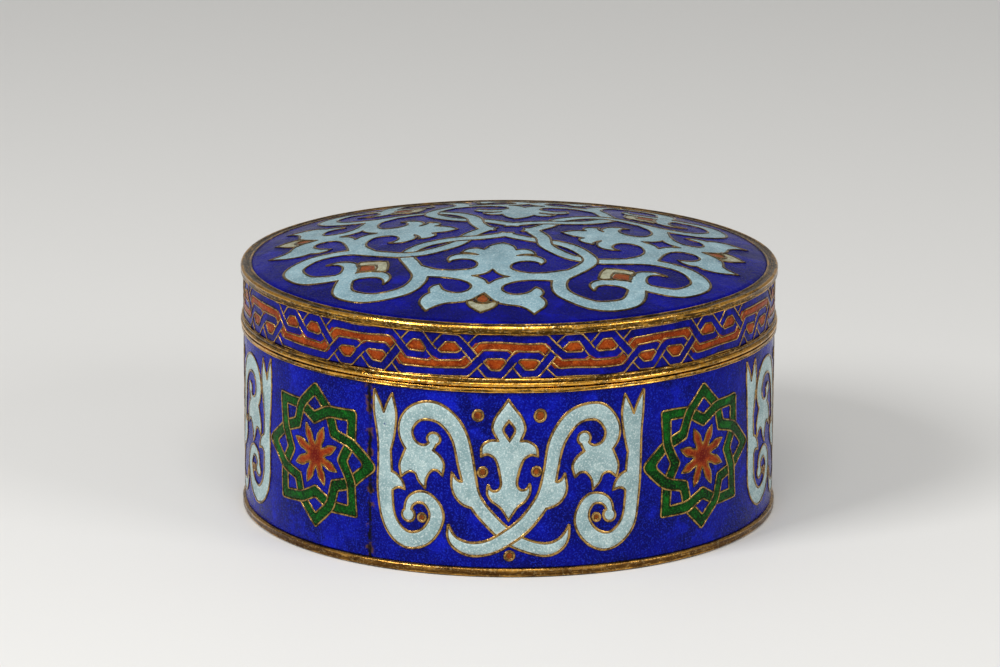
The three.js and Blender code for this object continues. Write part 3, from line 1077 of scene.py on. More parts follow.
@dataclass(frozen=True)
class Wires:
    """Half-round wires between the enamels.

    At angle b the section is (width / 2 cos b, low + (high - low) sin b), closed by a flat underside. Its
    mark is sin b: bright on the crest, as wear and as a painted highlight, and dark at the foot, as painted
    shade beside the wire. The underside is sunk below the wire's foot, the half round has arc points, and a
    corner's mitre is limited.
    """

    width: float
    high: float
    low: float = 0.02
    sunk: float = 0.12
    mitre_limit: float = 0.8
    arc: int = 6

    def lay(self, piece: Piece, ground: Ground, stretches: Sequence[Stretch]) -> None:
        """Lays wires along flat lines.

        Args:
            piece: what the wires go into.
            ground: the surface that they lie on.
            stretches: the lines, and whether each is a loop.
        """
        b = np.linspace(0, np.pi, self.arc)
        across = np.r_[0.5, 0.5 * np.cos(b), -0.5] * self.width
        foot = self.low - self.sunk
        up = np.r_[foot, self.low + (self.high - self.low) * np.sin(b), foot]
        mark, columns = np.r_[0, np.sin(b), 0], len(across)
        for line, closed in stretches:
            left = leftward(sum(steps_of(line, closed)))
            left = left / np.maximum((left**2).sum(1, keepdims=True) / 2, self.mitre_limit)
            flat = line[:, None] + left[:, None] * across[None, :, None]
            faces = [grid(len(line), columns, wrap=closed, wrap_columns=True)]
            if not closed:
                end = np.arange(columns)
                faces.append(np.stack([end, (end + (len(line) - 1) * columns)[::-1]]))
            piece.put(ground.lay(flat, up[None] + 0 * flat[..., 0]), mark, *faces)


# Sub-assemblies

# Steps round the axis in a rim
RIM_SEGMENTS = 512


def hoop(inner: float, outer: float, low: float, high: float, marks: Sequence[float] = (0,) * 4) -> Points:
    """The profile of a plain hoop, anticlockwise from its inner foot, with each corner's mark."""
    corners = ((inner, low), (outer, low), (outer, high), (inner, high))
    return np.array([(*corner, mark) for corner, mark in zip(corners, marks)])


@dataclass
class BodyMetal:
    """The drum's gilt foot, top rim and collar, and its copper.

    The foot's and rim's rows are (distance in from DRUM_R, height above its own foot, mark, unevenness). A
    high mark on a corner gives worn gilding and a painted highlight, a low one in a hollow tarnish and painted
    shade.
    """

    foot: Stops = (
        (2.4, 0, 0.3, 0), (0.35, 0, 0.4, 0), (0.05, 0.22, 0.85, 0.01), (0.1, 0.45, 0.45, 0.01),
        (0.1, 0.9, 0.55, 0.01), (0.02, 1.12, 1, 0.03), (0.25, 1.3, 0.9, 0.04), (0.52, 1.38, 0.6, 0.03),
        (0.75, 1.3, 0.3, 0), (2.4, 1.3, 0, 0),
    )
    rim: Stops = (
        (1.41, 0, 0, 0), (0.5, 0, 0.1, 0), (0.25, -0.03, 0.8, 0.04), (0.08, 0.15, 0.95, 0.02),
        (0.15, 0.28, 0.6, 0.01), (0.13, 0.5, 0.8, 0.01), (0.05, 0.63, 1, 0.01), (0.3, 0.75, 0.3, 0),
        (1.41, 0.75, 0.2, 0),
    )
    collar_r: float = 37.78
    collar_t: float = 1.0
    collar_top: float = 32.6
    collar_foot: float = 24.0
    copper_r: float = 38.59

    def build(self) -> None:
        """Builds the metal pieces."""
        foot, rim = at_rim(0, self.foot), at_rim(BODY_RIM_Z, self.rim)
        turned("foot_rim_gilt", Finish.FOOT, "drum", "foot_rim", foot, 0.1, RIM_SEGMENTS, 3)
        turned("body_top_rim_gilt", Finish.RIM, "drum", "body_top_rim", rim, 0.08, RIM_SEGMENTS, 5)
        outer, low, top = self.collar_r, self.collar_foot, self.collar_top
        inner = outer - self.collar_t
        # The marks are lowest just above the joint and highest on the top edge: wear and tarnish, and painted
        # highlight and shade
        rows = (
            (inner, low, 0.3), (outer, low, 0.3), (outer, JOINT_Z + 0.3, 0.15), (outer, JOINT_Z + 1.2, 0.5),
            (outer, top - 0.35, 0.7), (outer - 0.35, top, 1.0), (inner, top, 0.8), (inner, top - 1.5, 0.5),
        )
        turned("collar_gilt", Finish.COLLAR, "drum", "collar", rows, 0.14)
        wall = hoop(WALL_INNER_R, self.copper_r, FOOT_H + SEAT, JOINT_Z - SEAT, (0.4, 0.4, 0.6, 0.6))
        turned("body_wall_copper", Finish.COPPER, "drum", "body_wall", wall, 0.08)
        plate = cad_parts["floor_plate"]
        plate.material_slots[0].material = material(Finish.COPPER)


@dataclass
class BodyEnamel:
    """The drum's cobalt ground and the enamel inside and underneath."""

    skin: float = 0.75
    lining_r: float = 37.78
    lining_low: float = 2.17
    lining_top: float = 23.94
    base_r: float = 37.54
    coat: float = 0.45

    def build(self) -> None:
        """Builds the enamel skins."""
        wall = hoop(GROUND_R - self.skin, GROUND_R, FOOT_H + SEAT, BODY_RIM_Z - SEAT)
        turned("body_ground_cobalt", Finish.COBALT_WALL, "drum", "body_ground_enamel", wall)
        r, low, top, coat = self.lining_r, self.lining_low, self.lining_top, self.coat
        rows = (
            (0, low), (r, low), (r, top), (r - coat, top), (r - coat, low + 1.23),
            (r - 0.88, low + 0.58), (r - 1.58, low + coat), (0, low + coat),
        )
        turned("inner_enamel_lining", Finish.LINING, "drum", "inner_counter_enamel", rows, 0.12, closed=False)
        base = hoop(0, self.base_r, FOOT_H - coat, FOOT_H)
        turned("base_enamel", Finish.LINING, "drum", "base_counter_enamel", base, closed=False)


@dataclass
class Rosettes:
    """Four roses of two closed straps woven over and under, each round a star of eight petals."""

    radius: float = 11.575
    middle: float = 14.775
    long: Stops = ((0.905, 0.85), (0.88, 0.88))
    crossing: float = 0.66
    short: float = 0.475
    strap_w: float = 1.55
    corners: tuple[float, ...] = (0.0, 0.8, 0.35, 0.8)
    tips: Stops = ((1.3, 0.6, 1.3, 0.5), (0.9, 0.5, 0.45, 0.45))
    inner_tip: float = 0.6
    corner_steps: int = 7
    petal: Stops = (
        (1.65, -0.683, 1), (2.4, -0.6), (3.25, -0.68), (4.1, -0.38), (4.75, 0, 1), (4.1, 0.38),
        (3.25, 0.68), (2.4, 0.6),
    )
    step: float = 0.12
    straps: Sheet = Sheet(0.035, 0.45, 0.1)
    star: Sheet = Sheet(0.04, 0.3, 0.1)
    wires: Wires = Wires(0.34, 0.13)
    petal_wires: Wires = Wires(0.28, 0.1)

    def edge(self, strand: int, side: int) -> Points:
        """One edge of a closed strap with four long and four short points, softened more at some long ones.

        Args:
            strand: which of the two straps.
            side: -1 for its outer edge, 1 for its inner one.

        Returns:
            The edge's points.
        """
        sideways, upright = self.long[strand]
        between = (self.crossing, self.short, self.crossing)
        share = np.tile([sideways, *between, upright, *between], 2)
        a = np.radians(22.5 * np.arange(16) + 45 * strand)
        loop = self.radius * share[:, None] * np.stack([np.cos(a), np.sin(a)], 1)
        soft = np.tile(self.corners, 4)
        soft[::4] = np.array(self.tips[strand]) * (1 if side < 0 else self.inner_tip)
        line = shifted(loop, side * self.strap_w / 2, True)
        return softened(line, soft[:, None], True, self.corner_steps)

    def build(self) -> None:
        """Builds the four rosettes: green straps, stars and wires."""
        edges = [[self.edge(strand, side) for side in (-1, 1)] for strand in (0, 1)]
        petals = [(*turned_by(np.array(s[:2]), 22.5 + 45 * k), *s[2:]) for k in range(8) for s in self.petal]
        star = spline(petals, self.step, True)

        def green(points: Points) -> np.ndarray:
            """Says which points are on a strap."""
            return np.any([inside(points, out) & ~inside(points, hole) for out, hole in edges], axis=0)

        stretches: list[Stretch] = []
        for strand, pair in enumerate(edges):
            out, hole = edges[1 - strand]
            for edge in pair:
                fine = finely(edge, self.step)
                eighth = np.floor(np.degrees(np.arctan2(fine[:, 1], fine[:, 0])) / 45).astype(int)
                under = (eighth + strand) % 2 == 1
                stretches += runs(fine, inside(fine, out) & ~inside(fine, hole) & under)
        up = np.array([0, self.middle])
        wired = np.concatenate([line for line, _ in stretches]) + up
        for i in range(QUARTERS):
            drum = Drum(math.radians(45 + 90 * i))
            straps = Piece(f"rosette_straps_{i + 1}_green", Finish.GREEN)
            loops = [edge + up for pair in edges for edge in pair]
            straps.fill(drum, loops, self.straps, lambda p: green(p - up), wired)
            straps.make("drum", [f"rosette_straps_{i + 1}"], self.straps.thick)
            wires = Piece(f"rosette_wires_{i + 1}_gilt", Finish.DARK_WIRE)
            self.wires.lay(wires, drum, [(line + up, closed) for line, closed in stretches])
            self.petal_wires.lay(wires, drum, [(star + up, True)])
            wires.make("drum", [f"rosette_wires_{i + 1}"])
            orange = Piece(f"rosette_star_{i + 1}_orange", Finish.STAR)
            orange.fill(drum, [star + up], self.star)
            orange.make("drum", [f"rosette_star_{i + 1}"], self.star.thick)


@dataclass
class Panels:
    """Four panels between the rosettes, each with the same symmetrical arabesque of stems and leaves.

    It is drawn with its axis upright, from the panel's foot. The two inner stems cross on the axis.
    """

    foot: float = 3.0
    inner: Stops = (
        (-8.8, 4.4, 0.1), (-8.2, 2.1, 1.3), (-5.9, 0.9, 1.9), (-2.8, 1.5, 2.0), (0, 3.0, 2.1),
        (2.9, 5.4, 2.1), (5.0, 8.6, 2.1), (6.0, 12.6, 2.2), (7.1, 17.4, 2.3), (9.8, 20.8, 2.5),
        (13.4, 20.9, 2.5), (15.3, 18.2, 2.3), (14.2, 15.6, 1.9), (11.9, 15.2, 1.5), (10.8, 16.9, 0.9),
    )
    outer: Stops = (
        (20.2, 23.4, 0.1), (19.5, 20.6, 1.5), (18.9, 16.8, 2.0), (18.6, 12.5, 2.2), (18.5, 8.2, 2.3),
        (17.8, 4.2, 2.4), (15.2, 1.7, 2.5), (12.0, 2.6, 2.4), (10.5, 5.6, 2.1), (12.0, 8.2, 1.8),
        (14.5, 7.7, 1.4), (14.9, 5.7, 0.9),
    )
    leaves: tuple[Stops, ...] = (
        (
            (11.2, 15.4, 1), (10.0, 14.5), (9.3, 13.2), (9.6, 11.6, 1), (10.4, 12.3), (11.3, 12.2),
            (12.1, 11.1), (12.3, 9.5, 1), (13.4, 10.6), (13.9, 11.7), (14.9, 11.9), (16.1, 11.0, 1),
            (16.3, 12.8), (15.7, 14.4), (14.8, 16.2, 1),
        ),
        (
            (3.9, 7.2, 1), (5.6, 7.2), (7.3, 8.1), (8.3, 9.8), (8.2, 12.2, 1), (7.5, 11.2), (6.7, 11.1),
            (5.9, 12.6, 1),
        ),
        (
            (18.2, 13.2, 1), (17.5, 15.2), (16.9, 17.6), (16.7, 20.2), (17.3, 23.2, 1), (18.2, 21.3),
            (18.9, 19.2), (19.3, 16.6, 1),
        ),
        (
            (18.3, 11.9, 1), (16.9, 11.4), (15.9, 10.3), (15.5, 9.1, 1), (16.4, 9.3), (17.2, 9.0),
            (18.2, 7.6, 1),
        ),
    )
    lily: Stops = (
        (0, 23.2, 1), (0.9, 21.8), (2.0, 20.3), (2.4, 18.8), (1.7, 17.2, 1), (2.9, 17.1), (4.0, 16.2),
        (4.1, 14.8, 1), (3.2, 15.1), (2.2, 14.6), (1.6, 13.4), (1.2, 11.8), (1.1, 10.6), (1.6, 9.8),
        (2.4, 9.9), (2.9, 10.8, 1), (3.0, 9.4), (2.4, 8.2), (1.2, 7.2), (0, 5.4, 1),
    )
    eye: Stops = ((0, 20.0, 1), (0.85, 18.7), (0, 17.2, 1))
    knobs: Stops = ((14.75, 5.5, 0.95), (10.95, 17.1, 0.95))
    dots: Stops = ((12.75, 5.3, 0.55), (4.5, 20.9, 0.8), (3.8, 12.6, 0.65))
    foot_dot: tuple[float, float, float] = (0, 0.2, 0.65)
    step: float = 0.16
    pale: Sheet = Sheet(0.045, 0.6, 0.08)
    amber: Sheet = Sheet(0.05, 0.35, 0.08)
    wires: Wires = Wires(0.42, 0.14)

    def build(self) -> None:
        """Builds the pale figures, the amber dots and the wires."""
        right = [strap(self.inner), strap(self.outer)]
        right += [spline(stops, closed=True) for stops in self.leaves] + [ring(*knob) for knob in self.knobs]
        shapes, eye = [*right, *map(mirrored, right), whole(self.lily)], whole(self.eye)
        over, under = 0, len(right)
        dots = [ring(x * side, y, r) for x, y, r in self.dots for side in (-1, 1)] + [ring(*self.foot_dot)]
        stretches: list[Stretch] = [(eye, True)]
        for i, outline in enumerate(shapes):
            fine = finely(outline, self.step)
            covers = [s for k, s in enumerate(shapes) if k != i and (i, k) != (over, under)]
            stretches += runs(fine, any_of(covers)(fine))
        up = np.array([0, self.foot])
        wired = np.concatenate([line for line, _ in stretches]) + up
        lifted, eye, dots = [shape + up for shape in shapes], eye + up, [dot + up for dot in dots]
        stretches = [(line + up, closed) for line, closed in stretches] + [(dot, True) for dot in dots]
        for i in range(QUARTERS):
            drum = Drum(math.radians(90 * i))
            pale = Piece(f"panel_scroll_{i + 1}_pale", Finish.PALE_WALL)
            pale.fill(drum, [*lifted, eye], self.pale, any_of(lifted, [eye]), wired)
            pale.make("drum", thick=self.pale.thick)
            wires = Piece(f"panel_wires_{i + 1}_gilt", Finish.WIRE)
            self.wires.lay(wires, drum, stretches)
            wires.make("drum")
            amber = Piece(f"panel_dots_{i + 1}_amber", Finish.AMBER)
            for dot in dots:
                amber.fill(drum, [dot], self.amber)
            amber.make("drum", thick=self.amber.thick)


@dataclass
class LidMetal:
    """The lid's gilt rims and its copper.

    The rims' rows are (distance in from DRUM_R, height above the rim's foot, mark, unevenness). A high mark on
    a corner or the bead gives worn gilding and a painted highlight, a low one in a hollow tarnish and painted
    shade.
    """

    bead: float = 0.36
    bead_arc: float = 75.0
    bead_steps: int = 9
    proud: float = 0.02
    below_bead: Stops = ((1.35, 0, 0.2, 0), (0.36, 0, 0.1, 0))
    above_bead: Stops = (
        (0.2, 0.78, 0.15, 0.01), (0.14, 0.9, 0.35, 0.01), (0.12, 1.1, 0.5, 0.02), (0.25, 1.27, 1, 0.05),
        (0.52, 1.32, 0.6, 0.03), (0.75, 1.25, 0.2, 0), (1.35, 1.25, 0, 0),
    )
    top: Stops = (
        (1.75, 0, 0, 0), (0.6, 0, 0.1, 0.02), (0.25, -0.02, 0.8, 0.05), (0.06, 0.15, 0.95, 0.03),
        (0.12, 0.35, 0.35, 0.01), (0.12, 0.8, 0.4, 0.01), (0.03, 1.0, 1, 0.01), (0.24, 1.3, 1, 0.01),
        (0.5, 1.28, 0.5, 0.01), (0.75, 1.16, 0.22, 0.01), (1.25, 1.16, 0.15, 0.01), (1.41, 1.35, 0.8, 0.02),
        (1.65, 1.35, 0.6, 0.02), (1.75, 1.2, 0, 0),
    )
    inner_r: float = 38.65

    def build(self) -> None:
        """Builds the metal pieces. The lower rim's bead is an arc: (r + bead cos t, z + bead sin t)."""
        t = np.radians(np.linspace(-self.bead_arc, self.bead_arc, self.bead_steps))
        c, s = np.cos(t), np.sin(t)
        arc = (self.bead - self.proud - self.bead * c, self.bead + self.bead * s, 0.5 + 0.5 * c, 0.01 + 0 * t)
        lower = at_rim(LID_Z, [*self.below_bead, *np.stack(arc, 1).tolist(), *self.above_bead])
        turned("lid_lower_rim_gilt", Finish.RIM, "lid", "lid_lower_rim", lower, 0.05, RIM_SEGMENTS, 11)
        top = at_rim(TOP_RIM_Z, self.top)
        turned("lid_top_rim_gilt", Finish.RIM, "lid", "lid_top_rim", top, 0.07, RIM_SEGMENTS, 17)
        wall = hoop(LID_INNER_R, self.inner_r - SEAT, LID_Z, TOP_RIM_Z - SEAT, (0.8, 0.5, 0.3, 0.3))
        turned("lid_wall_copper", Finish.COPPER, "lid", "lid_wall", wall, 0.08)


@dataclass
class DomeSheets:
    """The dome's cobalt ground, its copper and the enamel inside.

    A sheet is (name, finish, node, radius, how far its top is below the dome, thickness).
    """

    rings: int = 48
    sheets: tuple[tuple[str, Finish, str, float, float, float], ...] = (
        ("dome_ground_cobalt", Finish.COBALT, "dome_ground_enamel", DOME_R + 0.04, 0.0, 0.75),
        ("dome_plate_copper", Finish.COPPER, "dome_plate", 37.92, 0.81, 0.75),
        ("dome_lining_enamel", Finish.LINING, "dome_counter_enamel", 37.92, 1.62, 0.45),
    )

    def build(self) -> None:
        """Builds the three sheets: z = dome(r) - drop above and thick lower below, closed at the rim."""
        for name, finish, node, radius, drop, thick in self.sheets:
            r = np.linspace(0, radius, self.rings)
            z = LEDGE_Z + DOME_RISE * (1 - (r / DOME_R) ** 2) - drop
            profile = np.concatenate([np.stack([r, z - thick], 1), np.stack([r, z], 1)[::-1]])
            turned(name, finish, "lid", node, profile, 0, closed=False)


@dataclass
class Band:
    """The lid's strapwork: one strap that goes round three times and weaves through itself, over red cells.

    The chain is the strap's middle line. The lines called over are the middles of the stretches that go over
    it. Both are drawn in shares of half a repeat and of its height. Each next half repeat has all of it upside
    down.
    """

    repeats: int = 11
    low: float = 30.0
    high: float = 35.05
    strap_w: float = 1.22
    chain: Stops = (
        (-0.965, 0), (-0.53, 0), (-0.31, 0.545), (-0.03, 0.545), (0.175, 0), (0.33, 0), (0.735, 1),
        (0.88, 1), (1.09, 0.455), (1.37, 0.455), (1.6, 1), (2.035, 1),
    )
    over: tuple[Stops, ...] = (
        ((-0.12, 0), (0.09, 0.545)), ((0.47, 1), (0.69, 0.455)), ((1.33, 1), (1.735, 0)),
    )
    bar: Stops = (
        (-4.94, 34.3), (5.39, 34.35), (6.03, 33.73), (4.98, 32.76), (4.34, 33.28), (1.27, 33.28),
        (0.31, 32.76), (-0.42, 33.28), (-3.73, 33.28), (-4.53, 32.44), (-5.42, 33.65),
    )
    eyes: tuple[Stops, ...] = (
        ((-3.58, 31.64), (-3.1, 32.04), (-1.0, 32.04), (-0.72, 31.68), (-1.52, 30.68), (-2.62, 30.68)),
        ((1.3, 31.78), (1.62, 32.06), (3.85, 32.06), (4.32, 31.66), (3.5, 30.68), (2.3, 30.68)),
    )
    plain: Stops = ((-3.9, -0.3, 32.14), (1.2, 4.6, 32.14), (12.3, 16.1, 32.91), (7.4, 10.8, 32.91))
    plain_reach: float = 0.08
    eye_reach: float = 0.26
    fewest: int = 6
    skin: float = 0.85
    bend_r: float = 0.3
    eye_bend_r: float = 0.15
    cell_inset: float = 0.1
    step: float = 0.15
    cell_step: float = 0.4
    cells: Sheet = Sheet(0.035, 0.5, 0.1)
    wires: Wires = Wires(0.28, 0.12)

    @property
    def half(self) -> float:
        """The length of half a repeat."""
        return math.pi * DRUM_R / self.repeats

    def scaled(self, line: Stops) -> Points:
        """A line drawn in shares, in millimetres."""
        return np.array(line, float) * [self.half, self.high - self.low] + [0, self.low]

    def repeated(self, line: Points, i: int) -> Points:
        """Puts a line of the first half repeat into another, upside down into every other one.

        Args:
            line: the line's points.
            i: how many half repeats on.

        Returns:
            The moved line, whose direction turns round with it.
        """
        if i % 2:
            line = (line * [1, -1] + [0, self.low + self.high])[::-1]
        return line + [i * self.half, 0]

    def edges(self, eyes: Sequence[Points]) -> list[Points]:
        """The strap's two edges, in stretches that show.

        They are hidden under a stretch that goes over them, in the plain stretches (left, right, height), and
        beside an eye, which has its own wire. Stretches of a few points are left out.

        Args:
            eyes: the eyes' outlines.

        Returns:
            The stretches.
        """
        found = []
        for side in (-1, 1):
            edge = shifted(self.scaled(self.chain), side * self.strap_w / 2, False)
            edge = finely(softened(edge, self.bend_r, False), self.step, False)
            hidden = np.zeros(len(edge), bool)
            for segment in self.over:
                hidden |= from_line(edge, self.scaled(segment)) < self.strap_w / 2
            for left, right, level in self.plain:
                between = (edge[:, 0] > left) & (edge[:, 0] < right)
                hidden |= between & (abs(edge[:, 1] - level) < self.plain_reach)
            for i in range(-1, 3):
                for eye in eyes:
                    hidden |= from_line(edge, self.repeated(eye, i), True) < self.eye_reach
            found += [line for line, _ in runs(edge, hidden, False) if len(line) >= self.fewest]
        return found

    def build(self) -> None:
        """Builds the ground, the red cells and the wires."""
        ground = hoop(GROUND_R - self.skin, GROUND_R, BAND_Z + SEAT, TOP_RIM_Z - SEAT)
        turned("band_ground_cobalt", Finish.COBALT_STRAP, "lid", "band_strapwork", ground)
        drawn = [np.array(cell, float) for cell in (self.bar, *self.eyes)]
        bar, *eyes = [shifted(cell, self.cell_inset, True) for cell in drawn]
        edges = self.edges(eyes)
        wires, cells = Piece("band_wires_gilt", Finish.WIRE), Piece("band_cells_red", Finish.BRICK)
        drum = Drum()
        for i in range(2 * self.repeats):
            self.wires.lay(wires, drum, [(self.repeated(edge, i), False) for edge in edges])
            for outline in (bar, *eyes):
                cell = self.repeated(outline, i)
                cells.fill(drum, [finely(cell, self.cell_step)], self.cells, any_of([cell]))
                if outline is not bar:
                    self.wires.lay(wires, drum, [(softened(cell, self.eye_bend_r, True), True)])
        wires.make("lid")
        cells.make("lid", ["band_ground_enamel"], self.cells.thick)


@dataclass
class DomeScroll:
    """The dome's arabesque: four figures of pale enamel whose straps pass over and under their neighbours'.

    A quarter is drawn with its axis down the page from the middle of the dome to the rim.
    """

    scale: float = DOME_R / 38.2
    meeting: float = 12.0
    joining: float = 22.0
    arch: Stops = (
        (-1.2, -3.0, 2.2), (0.0, -3.3, 2.2), (4, -5.5, 2.2), (8.4, -6.6, 2.2), (12, -9.6, 2.2),
        (13.6, -13.6, 2.2), (11.9, -18.3, 2.2), (10.1, -22.6, 2.3), (11.3, -27.4, 2.6), (16, -29.9, 2.9),
        (20.6, -27.6, 2.8), (21.3, -23.2, 2.6), (20.9, -21.4, 2.4),
    )
    curl: Stops = (
        (21.3, -23.0, 2.4), (20.4, -21.5, 2.6), (18.3, -20.9, 2.6), (16.1, -21.4, 2.1), (15.0, -23.0, 1.3),
        (15.3, -25, 0.15),
    )
    palmette: Stops = (
        (0, -7.7, 1), (0.95, -8.5), (1.75, -9.5), (2.15, -10.6), (2.35, -11.3, 1), (3.1, -10.75),
        (4.2, -10.9), (5.0, -11.7), (5.4, -13.0, 1), (4.6, -12.9), (3.5, -13.3), (2.75, -13.95, 1),
        (4.0, -13.45), (5.5, -13.6), (6.7, -14.5), (7.1, -15.7), (6.75, -17.1, 1), (6.2, -16.3),
        (5.0, -15.9), (3.6, -16.3), (2.75, -17.3), (2.5, -18.5), (2.95, -19.6), (4.1, -20.3), (6.1, -20.6),
        (8.1, -20.1), (9.9, -18.9), (11.4, -17.9, 1), (10.2, -22.6, 1), (8.9, -23.0), (7.3, -23.3),
        (5.3, -23.8), (3.7, -24.5), (2.6, -25.6), (2.3, -26.8), (2.7, -28), (3.8, -28.7), (5.0, -28.5),
        (6.0, -27.7), (6.5, -26.6), (6.85, -25.8, 1), (7.7, -26.4), (8.25, -27.5), (8.05, -28.8, 1),
        (8.75, -29.7), (9.1, -30.9), (9.0, -32.2), (8.5, -33.4), (7.8, -34.8, 1), (7.2, -33.9),
        (6.4, -33.0), (5.3, -32.4), (3.7, -32.2), (2.4, -31.8), (1.5, -31.0), (0.75, -29.9), (0, -28.8, 1),
    )
    diamond: Stops = (
        (0, -19.9, 1), (0.7, -21.3), (1.7, -22.2), (2.7, -22.6, 1), (1.7, -23.0), (0.7, -24.0),
        (0, -25.5, 1),
    )
    cup: Stops = (
        (0, -32.3, 1), (0.8, -32.0), (1.3, -31.6), (2.2, -31.5, 1), (2.1, -32.5), (1.4, -33.7),
        (0, -35.1, 1),
    )
    bud: Stops = ((0, -29.1, 1), (0.6, -29.9), (1.0, -30.8), (0.75, -31.7), (0, -32.2, 1))
    tulip: Stops = (
        (0, -22.6, 1), (1.6, -23.5), (3.3, -25.0, 1), (2.9, -25.9), (1.9, -26.5, 1), (0, -25.6, 1),
    )
    heart: Stops = ((0, -24.5, 1), (1.0, -25.1), (1.9, -26.1, 1), (1.1, -27.1), (0, -27.9, 1))
    step: float = 0.23
    pale: Sheet = Sheet(0.04, 0.6, 0.08)
    cream: Sheet = Sheet(0.05, 0.35, 0.08)
    amber: Sheet = Sheet(0.06, 0.35, 0.08)
    wires: Wires = Wires(0.42, 0.16)

    def put(self, line: Points, quarter: float) -> Points:
        """A line of the drawing in one of the dome's quarters."""
        return turned_by(line, 90 * quarter) * self.scale

    def passes_under(self, fine: Points, mine: tuple[str, int], other: tuple[str, int]) -> np.ndarray:
        """Where a figure's edge goes out of sight if another figure covers it.

        Two neighbours' arches cross twice and then run into each other. The left one goes over at the first
        crossing, inside the radius meeting, and the right one at the second. Past the radius joining neither has
        an edge in the other. Any other two figures run into each other wherever they touch.

        Args:
            fine: the edge's points.
            mine: its figure's kind and quarter.
            other: the other figure's kind and quarter.

        Returns:
            True or False for each point.
        """
        r = np.linalg.norm(fine, axis=1)
        if (mine[0], other[0]) == ("right", "left") and other[1] == (mine[1] + 1) % QUARTERS:
            return (r < self.meeting) | (r > self.joining)
        if (mine[0], other[0]) == ("left", "right") and mine[1] == (other[1] + 1) % QUARTERS:
            return r > self.meeting
        return np.full(len(fine), mine != other)

    def build(self) -> None:
        """Builds the pale figure, the buds, the hearts and the wires."""
        dome = Dome()
        right, curl = strap(self.arch), strap(self.curl)
        drawn = {
            "right": right, "left": mirrored(right), "right_curl": curl, "left_curl": mirrored(curl),
            "palmette": whole(self.palmette),
        }
        figures = {(kind, i): self.put(line, i) for i in range(QUARTERS) for kind, line in drawn.items()}
        holes = [self.put(whole(self.diamond), i) for i in range(QUARTERS)]
        stretches: list[Stretch] = [(hole, True) for hole in holes]
        for mine, outline in figures.items():
            fine = finely(outline, self.step)
            hidden = np.zeros(len(fine), bool)
            for other, cover in figures.items():
                hidden |= self.passes_under(fine, mine, other) & inside(fine, cover)
            stretches += runs(fine, hidden)
        wired = np.concatenate([line for line, _ in stretches])
        outlines = list(figures.values())
        pale = Piece("dome_scroll_pale", Finish.PALE)
        pale.fill(dome, [*outlines, *holes], self.pale, any_of(outlines, holes), wired)
        pale.make("lid", ["dome_scroll"], self.pale.thick)
        wires = Piece("dome_wires_gilt", Finish.DARK_WIRE)
        cream, amber = Piece("dome_petals_cream", Finish.CREAM), Piece("dome_buds_amber", Finish.AMBER)
        heart = whole(self.heart)
        for i in range(QUARTERS):
            for stops, turn, piece, sheet in (
                (self.cup, i, cream, self.cream),
                (self.bud, i, amber, self.amber),
                (self.tulip, i + 0.5, cream, self.cream),
                (self.heart, i + 0.5, amber, self.amber),
            ):
                loop = self.put(whole(stops), turn)
                piece.fill(dome, [loop], sheet)
                edge = finely(loop, self.step)
                covered = inside(edge, self.put(heart, turn)) & (stops is self.tulip)
                stretches += runs(edge, covered)
        self.wires.lay(wires, dome, stretches)
        wires.make("lid")
        cream.make("lid", thick=self.cream.thick)
        nodes = [f"dome_{kind}_{i + 1}" for kind in ("bud", "heart") for i in range(QUARTERS)]
        amber.make("lid", nodes, self.amber.thick)


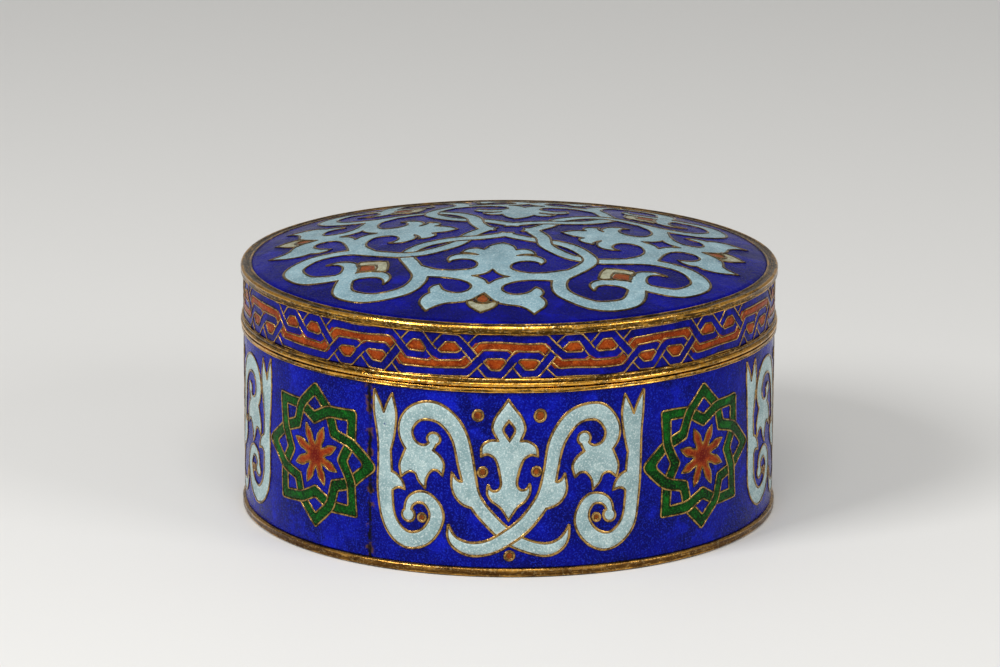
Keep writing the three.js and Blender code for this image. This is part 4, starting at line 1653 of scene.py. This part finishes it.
@dataclass
class Studio:
    """A plain floor, soft lamps and the camera.

    The camera's and the floor's sizes are millimetres, degrees and picture points. The camera's range of sight
    and the point that the lamps light are in metres. A lamp is (name, place and side in metres, power in watts).
    """

    target: tuple[float, float, float] = (-1.350, 0.0, 25.601)
    distance: float = 700.0
    elevation: float = 14.598
    roll: float = 0.194
    focal: float = 4684.0
    width: int = 1000
    sensor: float = 36.0
    seen: tuple[float, float] = (0.01, 20)
    floor_reach: float = 1500.0
    floor_side: float = 2500.0
    bend: float = 400.0
    flat_share: float = 0.6
    wall: float = 2500.0
    world: float = 0.36
    lamps: tuple[tuple[str, tuple[float, float, float], float, float], ...] = (
        ("key", (-0.62, -0.5, 0.62), 0.34, 6.4),
        ("fill", (0.8, -0.55, 0.45), 0.4, 3.4),
        ("top", (0.0, -0.5, 0.75), 0.45, 2.8),
    )
    lit: tuple[float, float, float] = (0, 0, 0.02)

    def camera(self) -> None:
        """Places the camera that looks at the front from a little above."""
        el, roll = math.radians(self.elevation), math.radians(self.roll)
        back = Vector((0, -math.cos(el), math.sin(el)))
        right = Vector((1, 0, 0))
        up = back.cross(right)
        side = right * math.cos(roll) + up * math.sin(roll)
        head = up * math.cos(roll) - right * math.sin(roll)
        data = bpy.data.cameras.new("camera")
        data.sensor_width = self.sensor
        data.lens = self.focal / self.width * self.sensor
        data.clip_start, data.clip_end = self.seen
        made = linked("camera", data)
        spot = (Vector(self.target) + back * self.distance) * MM
        made.matrix_world = Matrix.Translation(spot) @ Matrix((side, head, back)).transposed().to_4x4()
        bpy.context.scene.camera = made

    def floor(self) -> None:
        """Lays a pale floor that curves up behind: flat, then a quarter of a circle, then a wall."""
        n = Nodes("studio_floor")
        n.plug(Base_Color="dfdedb", Roughness=0.6, Specular_IOR_Level=0.2)
        t = np.linspace(0, 1, 40)
        a = np.maximum(t - self.flat_share, 0) / (1 - self.flat_share) * np.pi / 2
        y = np.minimum(2 * t / self.flat_share - 1, 1) * self.floor_reach + self.bend * np.sin(a)
        z = self.bend * (1 - np.cos(a))
        y, z = np.r_[y, self.floor_reach + self.bend][:, None], np.r_[z, self.wall][:, None]
        x = np.array([[-self.floor_side, self.floor_side]])
        points = np.stack(np.broadcast_arrays(x, y, z), -1).reshape(-1, 3)
        mesh = bpy.data.meshes.new("studio_floor")
        mesh.from_pydata((points * MM).tolist(), [], grid(len(y), 2).tolist())
        mesh.materials.append(n.material)
        mesh.shade_smooth()
        made = linked("studio_floor", mesh)

    def build(self) -> None:
        """Sets up the camera, the floor, square soft lamps that face the box, and a dim white world."""
        self.camera()
        self.floor()
        for name, spot, size, power in self.lamps:
            data = bpy.data.lights.new(name, "AREA")
            data.shape, data.size, data.energy = "SQUARE", size, power
            place = Vector(spot)
            facing = (place - Vector(self.lit)).to_track_quat("Z", "Y").to_matrix().to_4x4()
            linked(name, data).matrix_world = Matrix.Translation(place) @ facing
        world = bpy.data.worlds.new("soft_world")
        world.use_nodes = True
        sky = world.node_tree.nodes["Background"].inputs
        sky["Color"].default_value = colour("ffffff")
        sky["Strength"].default_value = self.world
        bpy.context.scene.world = world
        bpy.context.scene.view_settings.view_transform = "Standard"


def main() -> None:
    """Builds the box and its studio."""
    logging.basicConfig(level=logging.INFO, format="%(message)s")
    for kind in (Studio, BodyMetal, BodyEnamel, Rosettes, Panels, LidMetal, Band, DomeSheets, DomeScroll):
        LOG.info("building %s", kind.__name__)
        kind().build()


if __name__ == "__main__":
    main()
